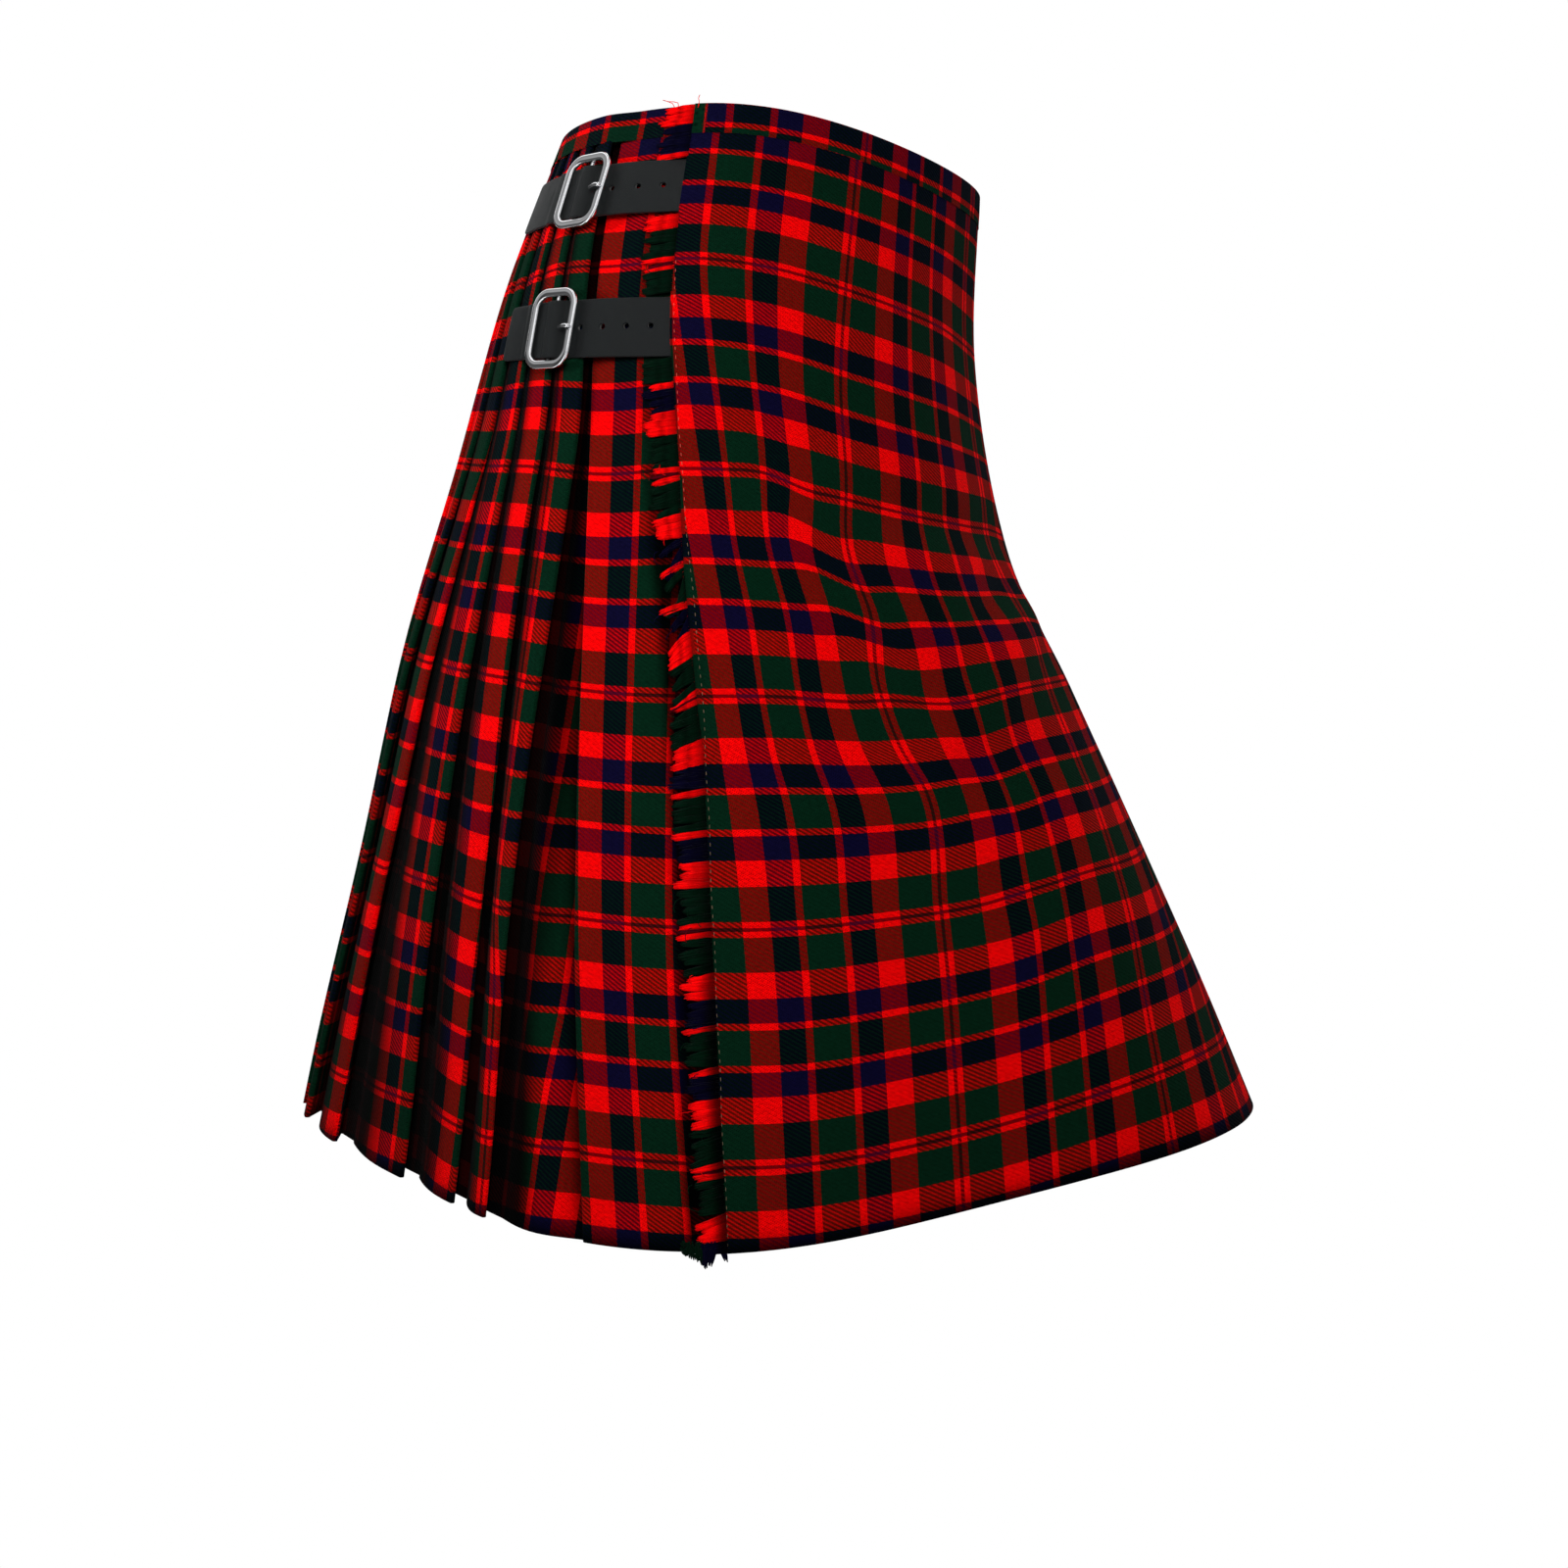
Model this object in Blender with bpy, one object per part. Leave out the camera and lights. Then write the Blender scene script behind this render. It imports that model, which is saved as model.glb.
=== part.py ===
"""Scottish kilt in its worn form: two aprons, knife pleats, waistband, fringed edge, straps and buckles.

Metres, +Z up. The wearer faces -Y, so the wearer's right hip is at -X.
The origin is the middle of the waist opening, where the wearer holds the kilt.

The cloth is one long wall. At each level, a distance down the cloth from the top edge, its middle line is
worked out in two coordinates: the arc round the kilt's outer ring, and the inset from that ring.
It runs from the under-apron's free edge, round the front to the right hip, back through the pleats to the
left hip, and once more round the front to the over-apron's fringed edge.
"""

import math
import random

import bmesh
import bpy
import numpy as np
from mathutils import Vector

MM = 0.001

# Cloth and clearances, in millimetres.
CLOTH = 1.2                  # thickness of the worsted cloth
SEAM_GAP = 0.3               # between two pieces that meet at a seam
FOLD_GAP = 0.7               # air inside a fold
LAYER = CLOTH + FOLD_GAP     # from the middle of one folded layer to the next
FOLD_REACH = 1.0             # length of a fold's round nose
OUTER_MIDDLE = CLOTH / 2     # inset of the middle of the outermost layer
UNDER_MIDDLE = 5.2 + CLOTH / 2   # inset of the middle of the under-apron

# The outer ring, from a centre behind the middle of the waist opening. Columns: distance down the cloth,
# then the radius to the front, front right, right, back right, back, back left, left and front left,
# then the height at the front, at the sides and at the back.
CENTRE_Y = 18.5
RINGS = np.array([
    (0.0, 136, 132, 126, 110, 99, 113, 128, 124, -14, 16, 14),
    (96.5, 134, 144, 155, 143, 130, 138, 146, 133, -105, -69, -67),
    (207.7, 153, 161, 173, 167, 160, 163, 163, 149, -211, -176, -160),
    (319.0, 189, 189, 189, 187, 194, 184, 180, 171, -288, -288, -264),
    (430.2, 231, 216, 209, 201, 223, 202, 199, 193, -379, -402, -380),
    (541.4, 277, 236, 231, 216, 253, 217, 220, 214, -482, -517, -496),
    (580.2, 294, 241, 239, 222, 262, 223, 228, 221, -523, -557, -535),
])
RADII = 8
RING_DEGREES = np.arange(-110.0, 471.0, 1.0)   # far enough round both ways for the overlapping aprons
HEM = 580.2                  # length of the cloth from top edge to hem

# The over-apron. Columns: distance down, its fringed edge in degrees round the ring from the front towards
# the wearer's right, and its width from there to the fold on the left.
APRONS = np.array([
    (0.0, 90.7, 426),
    (96.5, 92.2, 432),
    (207.7, 89.7, 452),
    (319.0, 85.8, 470),
    (430.2, 83.7, 482),
    (580.2, 81.5, 488),
])
UNDER_CLEAR = 10.0           # from the last pleat's tail to the under-apron's free edge

# Pleats. Columns: distance down, fold edges of the reverse pleat and of the first five knife pleats in
# degrees, how far a pleat's tail runs beneath its neighbour, how deep that tail lies, and how far the
# reverse pleat turns back.
PLEATS = np.array([
    (0.0, 111.5, 113.4, 120.4, 127.5, 134.8, 142.2, 5.0, 3.8, 9),
    (100.0, 109.8, 111.4, 118.8, 126.6, 134.6, 142.4, 6.0, 3.8, 10),
    (185.0, 108.1, 109.8, 117.9, 126.3, 135.4, 144.0, 7.5, 3.8, 12),
    (230.0, 107.5, 111.0, 119.3, 127.8, 138.2, 148.0, 8.5, 4.8, 14),
    (369.0, 106.2, 115.6, 122.2, 133.0, 147.0, 159.0, 12.0, 8.5, 19),
    (430.0, 105.1, 116.8, 123.1, 134.8, 150.5, 162.0, 13.0, 9.5, 21),
    (580.2, 100.0, 115.9, 122.8, 135.2, 152.9, 164.8, 15.0, 11.0, 25),
])
NAMED_PLEATS = 5
KNIFE_PLEATS = 20
RIGHT_PLEATS = 10            # knife pleats on the right-hand length of cloth
PLEAT_UNEVENNESS = 0.10      # spread of the widths of the pleats after the named ones, at the hem
PLEAT_OPENING = 0.5          # and how much wider the last of them open than the first
FELL = 185.0                 # stitched down as far as this
FLAT_FALL = 0.12             # share of the step that a stitched pleat has fallen at its middle
LOOSE_FALL = 0.02            # and what each millimetre of extra step adds to that share
PANEL_MIDDLE = 0.55          # share of a pleat's width where that is measured
PANEL_END = 1.5              # how far short of the next fold a panel reaches its full depth
REVERSE_SHOULDER = 0.15      # share of the reverse pleat's width taken by each end of its hollow panel
REVERSE_RISE = 0.25          # how much its middle rises for each millimetre of width
REVERSE_RISE_FROM = 6.0      # width at which it begins to rise
REVERSE_RISE_LIMIT = 6.0
PLEAT_SEED = 11

# Soft drag folds that the raised thigh pulls across both aprons. Columns: distance down and angle of one
# end, the same of the other end, half width and height.
CREASES = (
    (200, 0, 216, 64, 16, -3.5),
    (246, 2, 308, 60, 18, 3.0),
    (205, -4, 236, -62, 16, -3.0),
    (262, -6, 322, -58, 18, 2.5),
)
CREASE_MM_PER_DEGREE = 3.0
CREASE_FADE = 0.7

# Waistband.
BAND_DEPTH = 17.8
BAND_THICKNESS = 1.8
BAND_PROUD = 0.5             # how far the band stands out from the pleats
BAND_OVER_PROUD = 0.3        # and from the over-apron
BAND_UNDER_INSET = 4.8       # inset of the band's face where it lies on the under-apron
BAND_RAMP = 12.0             # degrees over which it rises from there onto the pleats

# Rows and columns of the walls.
WALL_ROWS = (18.1, 65, 125, 185, 225, 270, 319, 380, 445, 515, HEM)
APRON_COLUMN_COUNT = 30
BAND_COLUMN_COUNT = 30
BAND_BACK_COLUMN_COUNT = 60

# Fringe.
STRIP_WIDTH = 1.5
LOCK_LENGTH = 17.5
LOCK_PITCH = 7.4
LOCK_WIDTH = 5.4
LOCK_SECTIONS = ((0.5, 0.90, 0.5, 1.7), (1.0, 0.50, 1.6, 2.5))   # share of length, width, insets of its faces
LOCK_LENGTHS = (0.88, 1.06)  # spread of the locks' lengths
LOCK_DROOP = 2.6
LOCK_DROOPS = (0.3, 1.0)
BARE_ABOVE = 2.0             # bare stretch of edge above a strap, and below it
BARE_BELOW = 1.0
FRINGE_SEED = 7

# Straps and buckles.
STRAP_WIDTH = 32.0
STRAP_THICKNESS = 2.1
TUCK_GAP = 0.9               # between a tucked strap and the aprons either side
STRAP_TUCK = 12.0            # length hidden beneath the over-apron
CHAPE_THICKNESS = 1.6
LEATHER_GAP = 0.4
STATION_SPACING = 8.0        # at most this far between a strap's stations
STRAP_CLIP = 4.0             # how much a strap's corners are cut back
CHAPE_CLIP = 3.0
CHAPE_START = -4.0           # a chape's front end, measured past the centre bar
CHAPE_STATIONS = (CHAPE_START, 3.0, 10.0, 17.0)
CHAPE_LEAD = -6.5            # where the strap has risen clear of the chape
CHAPE_CLEAR = 1.0            # and how far past the chape's end it stays so
CHAPE_STEP = 3.0             # length over which it comes down again
RAMP_START = 2.0             # past the fringed edge, where a strap starts to rise out of its tuck
RAMP_END = 4.0               # short of the reverse fold, where it lies on the cloth
RAMP_SHARES = (0.35, 0.7, 1.0)
BAR_STATIONS = (-7.5, -6.0, -4.5, -2.5, 0.0, 2.5, 4.5, 6.0, 10.0, 17.0)
BAR_HUMP = 4.6               # half length of the rise over the centre bar
BAR_GAP = 0.8                # between the centre bar and the strap that passes over it
BAR_RADIUS = 1.3
BAR_SIDES = 8
FRAME_HALF_WIDTH = 14.2      # to the middle of the side bars
FRAME_HALF_HEIGHT = 19.1
FRAME_CORNER = 8.0
FRAME_PROFILE = ((-2.25, 0.0), (-2.05, 1.4), (-1.0, 2.7), (1.0, 2.7), (2.05, 1.4), (2.25, 0.0))
FRAME_LIFT = 0.5             # from the centre bar's middle to the frame's underside
TONGUE_PATH = ((-7.0, 2.9), (-9.6, 3.9), (-12.0, 4.8), (-14.4, 4.8), (-16.4, 4.3))   # past the bar, height
TONGUE_RADIUS = 1.2
TONGUE_SIDES = 6
TONGUE_TIP = 0.8             # share of its thickness left at the tip
TILT_REACH = 8.0             # how far above and below a buckle its tilt is measured
TURN_REACH = 4.0             # and how far to either side its direction
# Name, distance down, angles of the buckle and of the strap's end, and the chape's reach past its bar.
STRAPS = (
    ("top", 50.0, 115.5, 143.0, 26.0),
    ("lower", 131.0, 116.5, 133.3, 22.0),
)
LEFT_STRAP_DOWN = 50.0
FOLD_SLANT_REACH = 28.0      # stretch over which that strap's slanting start turns square
LEFT_STRAP_REACH = 52.0      # from the over-apron's left fold to the buckle's middle
LEFT_STRAP_END = 42.0        # and from there to the strap's end
LEFT_CHAPE_REACH = 24.0
LEFT_START = ((2.6, 1.9), (5.5, 0.4), (9.0, -LEATHER_GAP), (30.0, -LEATHER_GAP))   # short of the fold, inset

COLOURS = {
    "cloth": (0.45, 0.02, 0.02, 0.9, 0.0),
    "fringe": (0.30, 0.02, 0.02, 0.95, 0.0),
    "leather": (0.03, 0.032, 0.035, 0.55, 0.0),
    "chrome": (0.80, 0.81, 0.83, 0.12, 1.0),
}


def clear_scene():
    for item in list(bpy.data.objects):
        bpy.data.objects.remove(item, do_unlink=True)


def material_for(name, finish):
    red, green, blue, roughness, metallic = COLOURS[finish]
    material = bpy.data.materials.new(name)
    material.use_nodes = True
    shader = material.node_tree.nodes["Principled BSDF"]
    shader.inputs["Base Color"].default_value = (red, green, blue, 1.0)
    shader.inputs["Roughness"].default_value = roughness
    shader.inputs["Metallic"].default_value = metallic
    return material


def add_object(name, vertices, faces, finish):
    """A named object from points in millimetres, its faces turned outward."""
    mesh = bpy.data.meshes.new(name)
    mesh.from_pydata([tuple(c * MM for c in v) for v in vertices], [], faces)
    model = bmesh.new()
    model.from_mesh(mesh)
    bmesh.ops.recalc_face_normals(model, faces=model.faces)
    model.to_mesh(mesh)
    model.free()
    mesh.materials.append(material_for(name, finish))
    thing = bpy.data.objects.new(name, mesh)
    bpy.context.collection.objects.link(thing)
    mesh.shade_smooth()
    mesh.set_sharp_from_angle(angle=math.radians(40))
    return thing


def smooth_row(table, down):
    """The table's columns at any distance down the cloth, on a cubic through its rows."""
    knots = table[:, 0]
    slopes = np.gradient(table[:, 1:], knots, axis=0)
    row = int(np.clip(np.searchsorted(knots, down) - 1, 0, len(knots) - 2))
    span = knots[row + 1] - knots[row]
    t = (down - knots[row]) / span
    start = (2 * t ** 3 - 3 * t ** 2 + 1) * table[row, 1:] + (t ** 3 - 2 * t ** 2 + t) * span * slopes[row]
    stop = (3 * t ** 2 - 2 * t ** 3) * table[row + 1, 1:] + (t ** 3 - t ** 2) * span * slopes[row + 1]
    return start + stop


def crease_height(down, angle):
    """How far the drag folds lift the aprons, with the angle in degrees from the front."""
    angle = (angle + 180.0) % 360.0 - 180.0
    height = 0.0
    for down_a, angle_a, down_b, angle_b, half_width, lift in CREASES:
        along = np.array([down_b - down_a, (angle_b - angle_a) * CREASE_MM_PER_DEGREE])
        offset = np.array([down - down_a, (angle - angle_a) * CREASE_MM_PER_DEGREE])
        length = float(np.hypot(*along))
        t = float(offset @ along) / length ** 2
        across = float(offset[0] * along[1] - offset[1] * along[0]) / length
        fade = math.sin(math.pi * min(max(t, 0.0), 1.0)) ** CREASE_FADE
        height += lift * fade * math.exp(-(across / half_width) ** 2)
    return height


class Ring:
    """The kilt's outer surface at one distance down the cloth, in millimetres."""

    def __init__(self, down):
        row = smooth_row(RINGS, down)
        self.down = down
        self.radii = row[:RADII]
        self.z_front, self.z_side, self.z_back = row[RADII:]
        radius = self.radius(RING_DEGREES)
        x = radius * np.sin(np.radians(RING_DEGREES))
        y = radius * np.cos(np.radians(RING_DEGREES))
        steps = np.hypot(np.diff(x), np.diff(y))
        self.arcs = np.concatenate([[0.0], np.cumsum(steps)])
        self.arcs -= np.interp(0.0, RING_DEGREES, self.arcs)

    def radius(self, degrees):
        total = 0.0
        for k, value in enumerate(self.radii):
            x = np.radians(np.asarray(degrees, float) - k * 360.0 / RADII)
            x = (x + math.pi) % (2 * math.pi) - math.pi
            x = np.where(np.abs(x) < 1e-6, 1e-6, x)
            total = total + value * np.sin(4 * x) / (8 * np.tan(x / 2))
        return total

    def arc(self, degrees):
        return float(np.interp(degrees, RING_DEGREES, self.arcs))

    def angle(self, arc):
        return float(np.interp(arc, self.arcs, RING_DEGREES))

    def point(self, arc, inset, creased=False):
        degrees = self.angle(arc)
        turn = math.radians(degrees)
        radius = float(self.radius(degrees)) - inset
        if creased:
            radius += crease_height(self.down, degrees)
        end = self.z_front if math.cos(turn) > 0 else self.z_back
        z = self.z_side * math.sin(turn) ** 2 + end * math.cos(turn) ** 2
        return (-radius * math.sin(turn), CENTRE_Y - radius * math.cos(turn), z)


def offset_line(points, distance):
    """A polyline moved sideways, with mitred corners and ends cut square to the ring."""
    points = np.asarray(points, float)
    along = np.diff(points, axis=0)
    along /= np.linalg.norm(along, axis=1)[:, None]
    sides = np.stack([along[:, 1], -along[:, 0]], axis=1)
    first = np.vstack([sides[:1], sides])
    last = np.vstack([sides, sides[-1:]])
    mitre = first + last
    mitre /= 1.0 + np.sum(first * last, axis=1)[:, None]
    for end in (0, -1):
        mitre[end] -= along[end] * mitre[end, 0] / along[end, 0]
    return points + mitre * distance


def nose(arc, inset, direction, layers=1.0):
    """Three points that turn the cloth over at a fold, at arc, pointing in direction."""
    back = arc - direction * FOLD_REACH
    return [(back, inset), (arc, inset + layers * LAYER / 2), (back, inset + layers * LAYER)]


def apron_arcs(ring):
    """Arcs of the over-apron's left fold and of its fringed edge."""
    over_edge, width = smooth_row(APRONS, ring.down)
    edge = ring.arc(360.0 + over_edge)
    return edge - width, edge


def fold_arcs(ring, pleats):
    """Arcs of every knife fold edge, the last one being the over-apron's left fold."""
    named = [ring.arc(angle) for angle in pleats[1:1 + NAMED_PLEATS]]
    first, last = named[-1], apron_arcs(ring)[0]
    count = KNIFE_PLEATS + 1 - NAMED_PLEATS
    loose = max(0.0, ring.down - FELL) / (HEM - FELL)
    rng = random.Random(PLEAT_SEED)
    widths = np.array([1.0 + loose * (PLEAT_UNEVENNESS * rng.uniform(-1, 1)
                                      + PLEAT_OPENING * ((k + 0.5) / count - 0.5)) for k in range(count)])
    steps = np.cumsum(widths) / widths.sum()
    return named + [first + (last - first) * step for step in steps]


def knife_pleat(fold, next_fold, underlay, step):
    """Middle line of one knife pleat, from its fold edge to the turn beneath the next one."""
    width = next_fold - fold
    fall = FLAT_FALL + LOOSE_FALL * (step - 2 * LAYER)
    turned = nose(fold, OUTER_MIDDLE, -1)
    tail = OUTER_MIDDLE + step
    hidden = nose(next_fold + underlay, tail - LAYER, 1)
    return [turned[2], turned[1], turned[0],
            (fold + PANEL_MIDDLE * width, OUTER_MIDDLE + fall * step),
            (next_fold - PANEL_END, tail),
            hidden[2], hidden[1], hidden[0]]


def cut_line(before, after):
    """Two points either side of the middle of a stretch, a seam's gap apart along the ring."""
    before, after = np.array(before), np.array(after)
    along = (after - before) / abs(after[0] - before[0])
    middle = (before + after) / 2
    return tuple(middle - along * SEAM_GAP / 2), tuple(middle + along * SEAM_GAP / 2)


def cloth_section(ring):
    """Middle line of each cloth piece at one level, as (arc, inset) points."""
    pleats = smooth_row(PLEATS, ring.down)
    underlay, step, turn_back = pleats[1 + NAMED_PLEATS:]
    step = max(step, 2 * LAYER)
    folds = fold_arcs(ring, pleats)
    full_turn = ring.arc(360.0)
    over_edge = apron_arcs(ring)[1]
    under_edge = folds[-1] - full_turn + underlay + UNDER_CLEAR

    reverse = ring.arc(pleats[0])
    turned = nose(reverse, UNDER_MIDDLE, 1)
    front_run = np.linspace(under_edge, reverse - FOLD_REACH, APRON_COLUMN_COUNT)
    under = [(arc, UNDER_MIDDLE) for arc in front_run] + turned[1:]
    hidden = nose(reverse - turn_back, UNDER_MIDDLE + LAYER, -1)
    under_end, right_start = cut_line(turned[2], hidden[0])
    under.append(under_end)

    width = folds[0] - reverse
    deep = UNDER_MIDDLE + 2 * LAYER
    rise = min(max(REVERSE_RISE * (width - REVERSE_RISE_FROM), 0.0), REVERSE_RISE_LIMIT)
    shoulder = REVERSE_SHOULDER * width
    tail = nose(folds[0] + underlay, deep - LAYER, 1)
    right = [right_start] + hidden
    right += [(reverse + shoulder, deep), (reverse + width / 2, deep - rise),
              (folds[0] - shoulder, deep), tail[2], tail[1], tail[0]]
    for k in range(RIGHT_PLEATS):
        right += knife_pleat(folds[k], folds[k + 1], underlay, step)

    left = []
    for k in range(RIGHT_PLEATS, KNIFE_PLEATS):
        left += knife_pleat(folds[k], folds[k + 1], underlay, step)
    right_end, left_start = cut_line(right[-1], left[0])
    right.append(right_end)
    left.insert(0, left_start)

    over_nose = nose(folds[-1], OUTER_MIDDLE, -1)
    left_end, over_start = cut_line(left[-1], over_nose[2])
    left.append(left_end)
    top_run = np.linspace(over_nose[0][0], over_edge, APRON_COLUMN_COUNT)
    over = [over_start, over_nose[2], over_nose[1]] + [(arc, OUTER_MIDDLE) for arc in top_run]
    return {"under_apron": under, "pleats_right": right, "pleats_left": left, "over_apron": over}


def wall_from_sections(name, sections, finish):
    """One closed wall. Each section is a face line and a back line with the same number of points."""
    count = len(sections[0][0])
    vertices = [point for face, back in sections for point in list(face) + list(back)]
    face_at = lambda row, i: row * 2 * count + i
    back_at = lambda row, i: row * 2 * count + count + i
    faces = []
    last = len(sections) - 1
    for i in range(count - 1):
        for row in range(last):
            faces.append((face_at(row, i), face_at(row, i + 1), face_at(row + 1, i + 1), face_at(row + 1, i)))
            faces.append((back_at(row, i), back_at(row + 1, i), back_at(row + 1, i + 1), back_at(row, i + 1)))
        faces.append((face_at(0, i), back_at(0, i), back_at(0, i + 1), face_at(0, i + 1)))
        faces.append((face_at(last, i), face_at(last, i + 1), back_at(last, i + 1), back_at(last, i)))
    for row in range(last):
        for i in (0, count - 1):
            faces.append((face_at(row, i), face_at(row + 1, i), back_at(row + 1, i), back_at(row, i)))
    return add_object(name, vertices, faces, finish)


def placed_section(ring, line, thickness, creased=False):
    """Both faces of a wall at one level, from its middle line."""
    face = [ring.point(arc, inset, creased) for arc, inset in offset_line(line, thickness / 2)]
    back = [ring.point(arc, inset, creased) for arc, inset in offset_line(line, -thickness / 2)]
    return face, back


def build_cloth():
    rings = [Ring(down) for down in WALL_ROWS]
    lines = [cloth_section(ring) for ring in rings]
    for name in lines[0]:
        creased = name.endswith("apron")
        sections = [placed_section(ring, line[name], CLOTH, creased) for ring, line in zip(rings, lines)]
        wall_from_sections(name, sections, "cloth")


def build_waistband():
    """The over-apron's band, and the band that runs over the pleats and on round the under-apron."""
    over, back = [], []
    for down in (0.0, BAND_DEPTH):
        ring = Ring(down)
        over_fold, over_edge = apron_arcs(ring)
        under_edge = over_fold - ring.arc(360.0) + UNDER_CLEAR
        reverse = smooth_row(PLEATS, down)[0]
        middle = BAND_THICKNESS / 2 - BAND_OVER_PROUD
        run = np.linspace(over_fold + SEAM_GAP, over_edge, BAND_COLUMN_COUNT)
        over.append(placed_section(ring, [(arc, middle) for arc in run], BAND_THICKNESS))
        run = np.linspace(under_edge, over_fold - SEAM_GAP, BAND_BACK_COLUMN_COUNT)
        on_under = BAND_UNDER_INSET + BAND_THICKNESS / 2
        on_pleats = BAND_THICKNESS / 2 - BAND_PROUD
        line = []
        for arc in run:
            t = min(max((ring.angle(arc) - reverse) / BAND_RAMP + 0.5, 0.0), 1.0)
            t = t * t * (3 - 2 * t)
            line.append((arc, on_under + (on_pleats - on_under) * t))
        back.append(placed_section(ring, line, BAND_THICKNESS))
    wall_from_sections("waistband_over", over, "cloth")
    wall_from_sections("waistband_back", back, "cloth")


def edge_point(down, past_edge, inset, droop=0.0):
    """A point beyond the fringed edge, straight between the levels that the walls are built on."""
    levels = (0.0, BAND_DEPTH) + WALL_ROWS
    below = next(k for k, level in enumerate(levels) if level >= down and k > 0)
    ends = []
    for level in levels[below - 1:below + 1]:
        ring = Ring(level)
        ends.append(np.array(ring.point(ring.arc(smooth_row(APRONS, level)[0]) + past_edge, inset)))
    t = (down - levels[below - 1]) / (levels[below] - levels[below - 1])
    x, y, z = ends[0] + (ends[1] - ends[0]) * t
    return (x, y, z - droop)


def build_fringe(name, top, bottom, bare, lock_length, seed):
    """A narrow strip beside the apron's edge, with tapered locks growing from it as one body."""
    rng = random.Random(seed)
    count = int((bottom - top) / LOCK_PITCH)
    starts = [top + (LOCK_PITCH - LOCK_WIDTH) / 2 + k * LOCK_PITCH for k in range(count)]
    starts = [a for a in starts if not any(low < a + LOCK_WIDTH and a < high for low, high in bare)]
    bends = [row for row in WALL_ROWS
             if top < row < bottom and not any(a <= row <= a + LOCK_WIDTH for a in starts)]
    levels = sorted([top, bottom] + starts + [a + LOCK_WIDTH for a in starts] + bends)
    locks = [levels.index(a) for a in starts]
    near, far = SEAM_GAP, SEAM_GAP + STRIP_WIDTH
    corners = ((near, 0.0), (far, 0.0), (far, CLOTH), (near, CLOTH))
    vertices = [edge_point(level, past, inset) for level in levels for past, inset in corners]
    faces = [(0, 3, 2, 1), tuple(4 * (len(levels) - 1) + k for k in range(4))]
    for row in range(len(levels) - 1):
        for side in range(4):
            if side == 1 and row in locks:
                continue
            a, b = 4 * row + side, 4 * row + (side + 1) % 4
            faces.append((a, b, b + 4, a + 4))
    for row in locks:
        length = lock_length * rng.uniform(*LOCK_LENGTHS)
        droop = LOCK_DROOP * rng.uniform(*LOCK_DROOPS)
        centre = (levels[row] + levels[row + 1]) / 2
        loop = [4 * row + 1, 4 * row + 2, 4 * row + 6, 4 * row + 5]
        for share, width, outer, inner in LOCK_SECTIONS:
            half = width * LOCK_WIDTH / 2
            past = far + share * length
            drop = droop * share ** 2
            start = len(vertices)
            for side, inset in ((-half, outer), (-half, inner), (half, inner), (half, outer)):
                vertices.append(edge_point(min(centre + side, HEM), past, inset, drop))
            ring = [start, start + 1, start + 2, start + 3]
            faces += [(loop[k], loop[(k + 1) % 4], ring[(k + 1) % 4], ring[k]) for k in range(4)]
            loop = ring
        faces.append(tuple(loop))
    return add_object(name, vertices, faces, "fringe")


def filled(stations):
    """Stations with more between them, so that a strap keeps to the ring's curve."""
    full = [stations[0]]
    for before, after in zip(stations, stations[1:]):
        count = max(1, math.ceil(abs(after[0] - before[0]) / STATION_SPACING))
        for k in range(1, count + 1):
            full.append(tuple(b + (a - b) * k / count for b, a in zip(before, after)))
    return full


def strap_wall(name, down, stations, thickness, clipped, from_fold=False):
    """A flat strap along the ring: stations are (arc at the strap's middle, inset of its inner face).

    A strap from_fold starts along the over-apron's slanting left fold.
    """
    half = STRAP_WIDTH / 2
    rows = (down - half, down, down + half)
    stations = filled(stations)
    middle = Ring(down)
    sections = []
    for row, level in enumerate(rows):
        ring = Ring(level)
        face, back = [], []
        for k, (arc, inset) in enumerate(stations):
            reach = clipped if k == len(stations) - 1 and row in (0, len(rows) - 1) else 0.0
            direction = math.copysign(1.0, stations[-1][0] - stations[0][0])
            there = ring.arc(middle.angle(arc - direction * reach))
            if from_fold:
                slant = apron_arcs(ring)[0] - ring.arc(middle.angle(apron_arcs(middle)[0]))
                there += slant * max(0.0, 1.0 - abs(arc - stations[0][0]) / FOLD_SLANT_REACH)
            face.append(ring.point(there, inset - thickness))
            back.append(ring.point(there, inset))
        sections.append((face, back))
    return wall_from_sections(name, sections, "leather")


def strap_inset(past_bar, chape_reach):
    """Inset of the strap's inner face near its buckle, with past_bar the distance from the centre bar."""
    resting = -LEATHER_GAP
    if CHAPE_LEAD <= past_bar <= chape_reach + CHAPE_CLEAR:
        resting -= CHAPE_THICKNESS + LEATHER_GAP
    over_bar = -(CHAPE_THICKNESS + 2 * LEATHER_GAP + 2 * BAR_RADIUS + BAR_GAP)
    hump = math.exp(-(past_bar / BAR_HUMP) ** 4)
    return resting + (over_bar - resting) * hump


def local_frame(down, arc, inset):
    """A place beside the ring with its directions: along the arc, up the cloth and outward."""
    ring = Ring(down)
    angle = ring.angle(arc)
    above, below = Ring(down - TILT_REACH), Ring(down + TILT_REACH)
    here = Vector(ring.point(arc, inset))
    along = Vector(ring.point(arc + TURN_REACH, 0.0)) - Vector(ring.point(arc - TURN_REACH, 0.0))
    along.normalize()
    up = Vector(above.point(above.arc(angle), 0.0)) - Vector(below.point(below.arc(angle), 0.0))
    up = (up - along * up.dot(along)).normalized()
    out = along.cross(up).normalized()
    if out.dot(Vector((here.x, here.y - CENTRE_Y, 0.0))) < 0:
        out = -out
    return here, along, up, out


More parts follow.
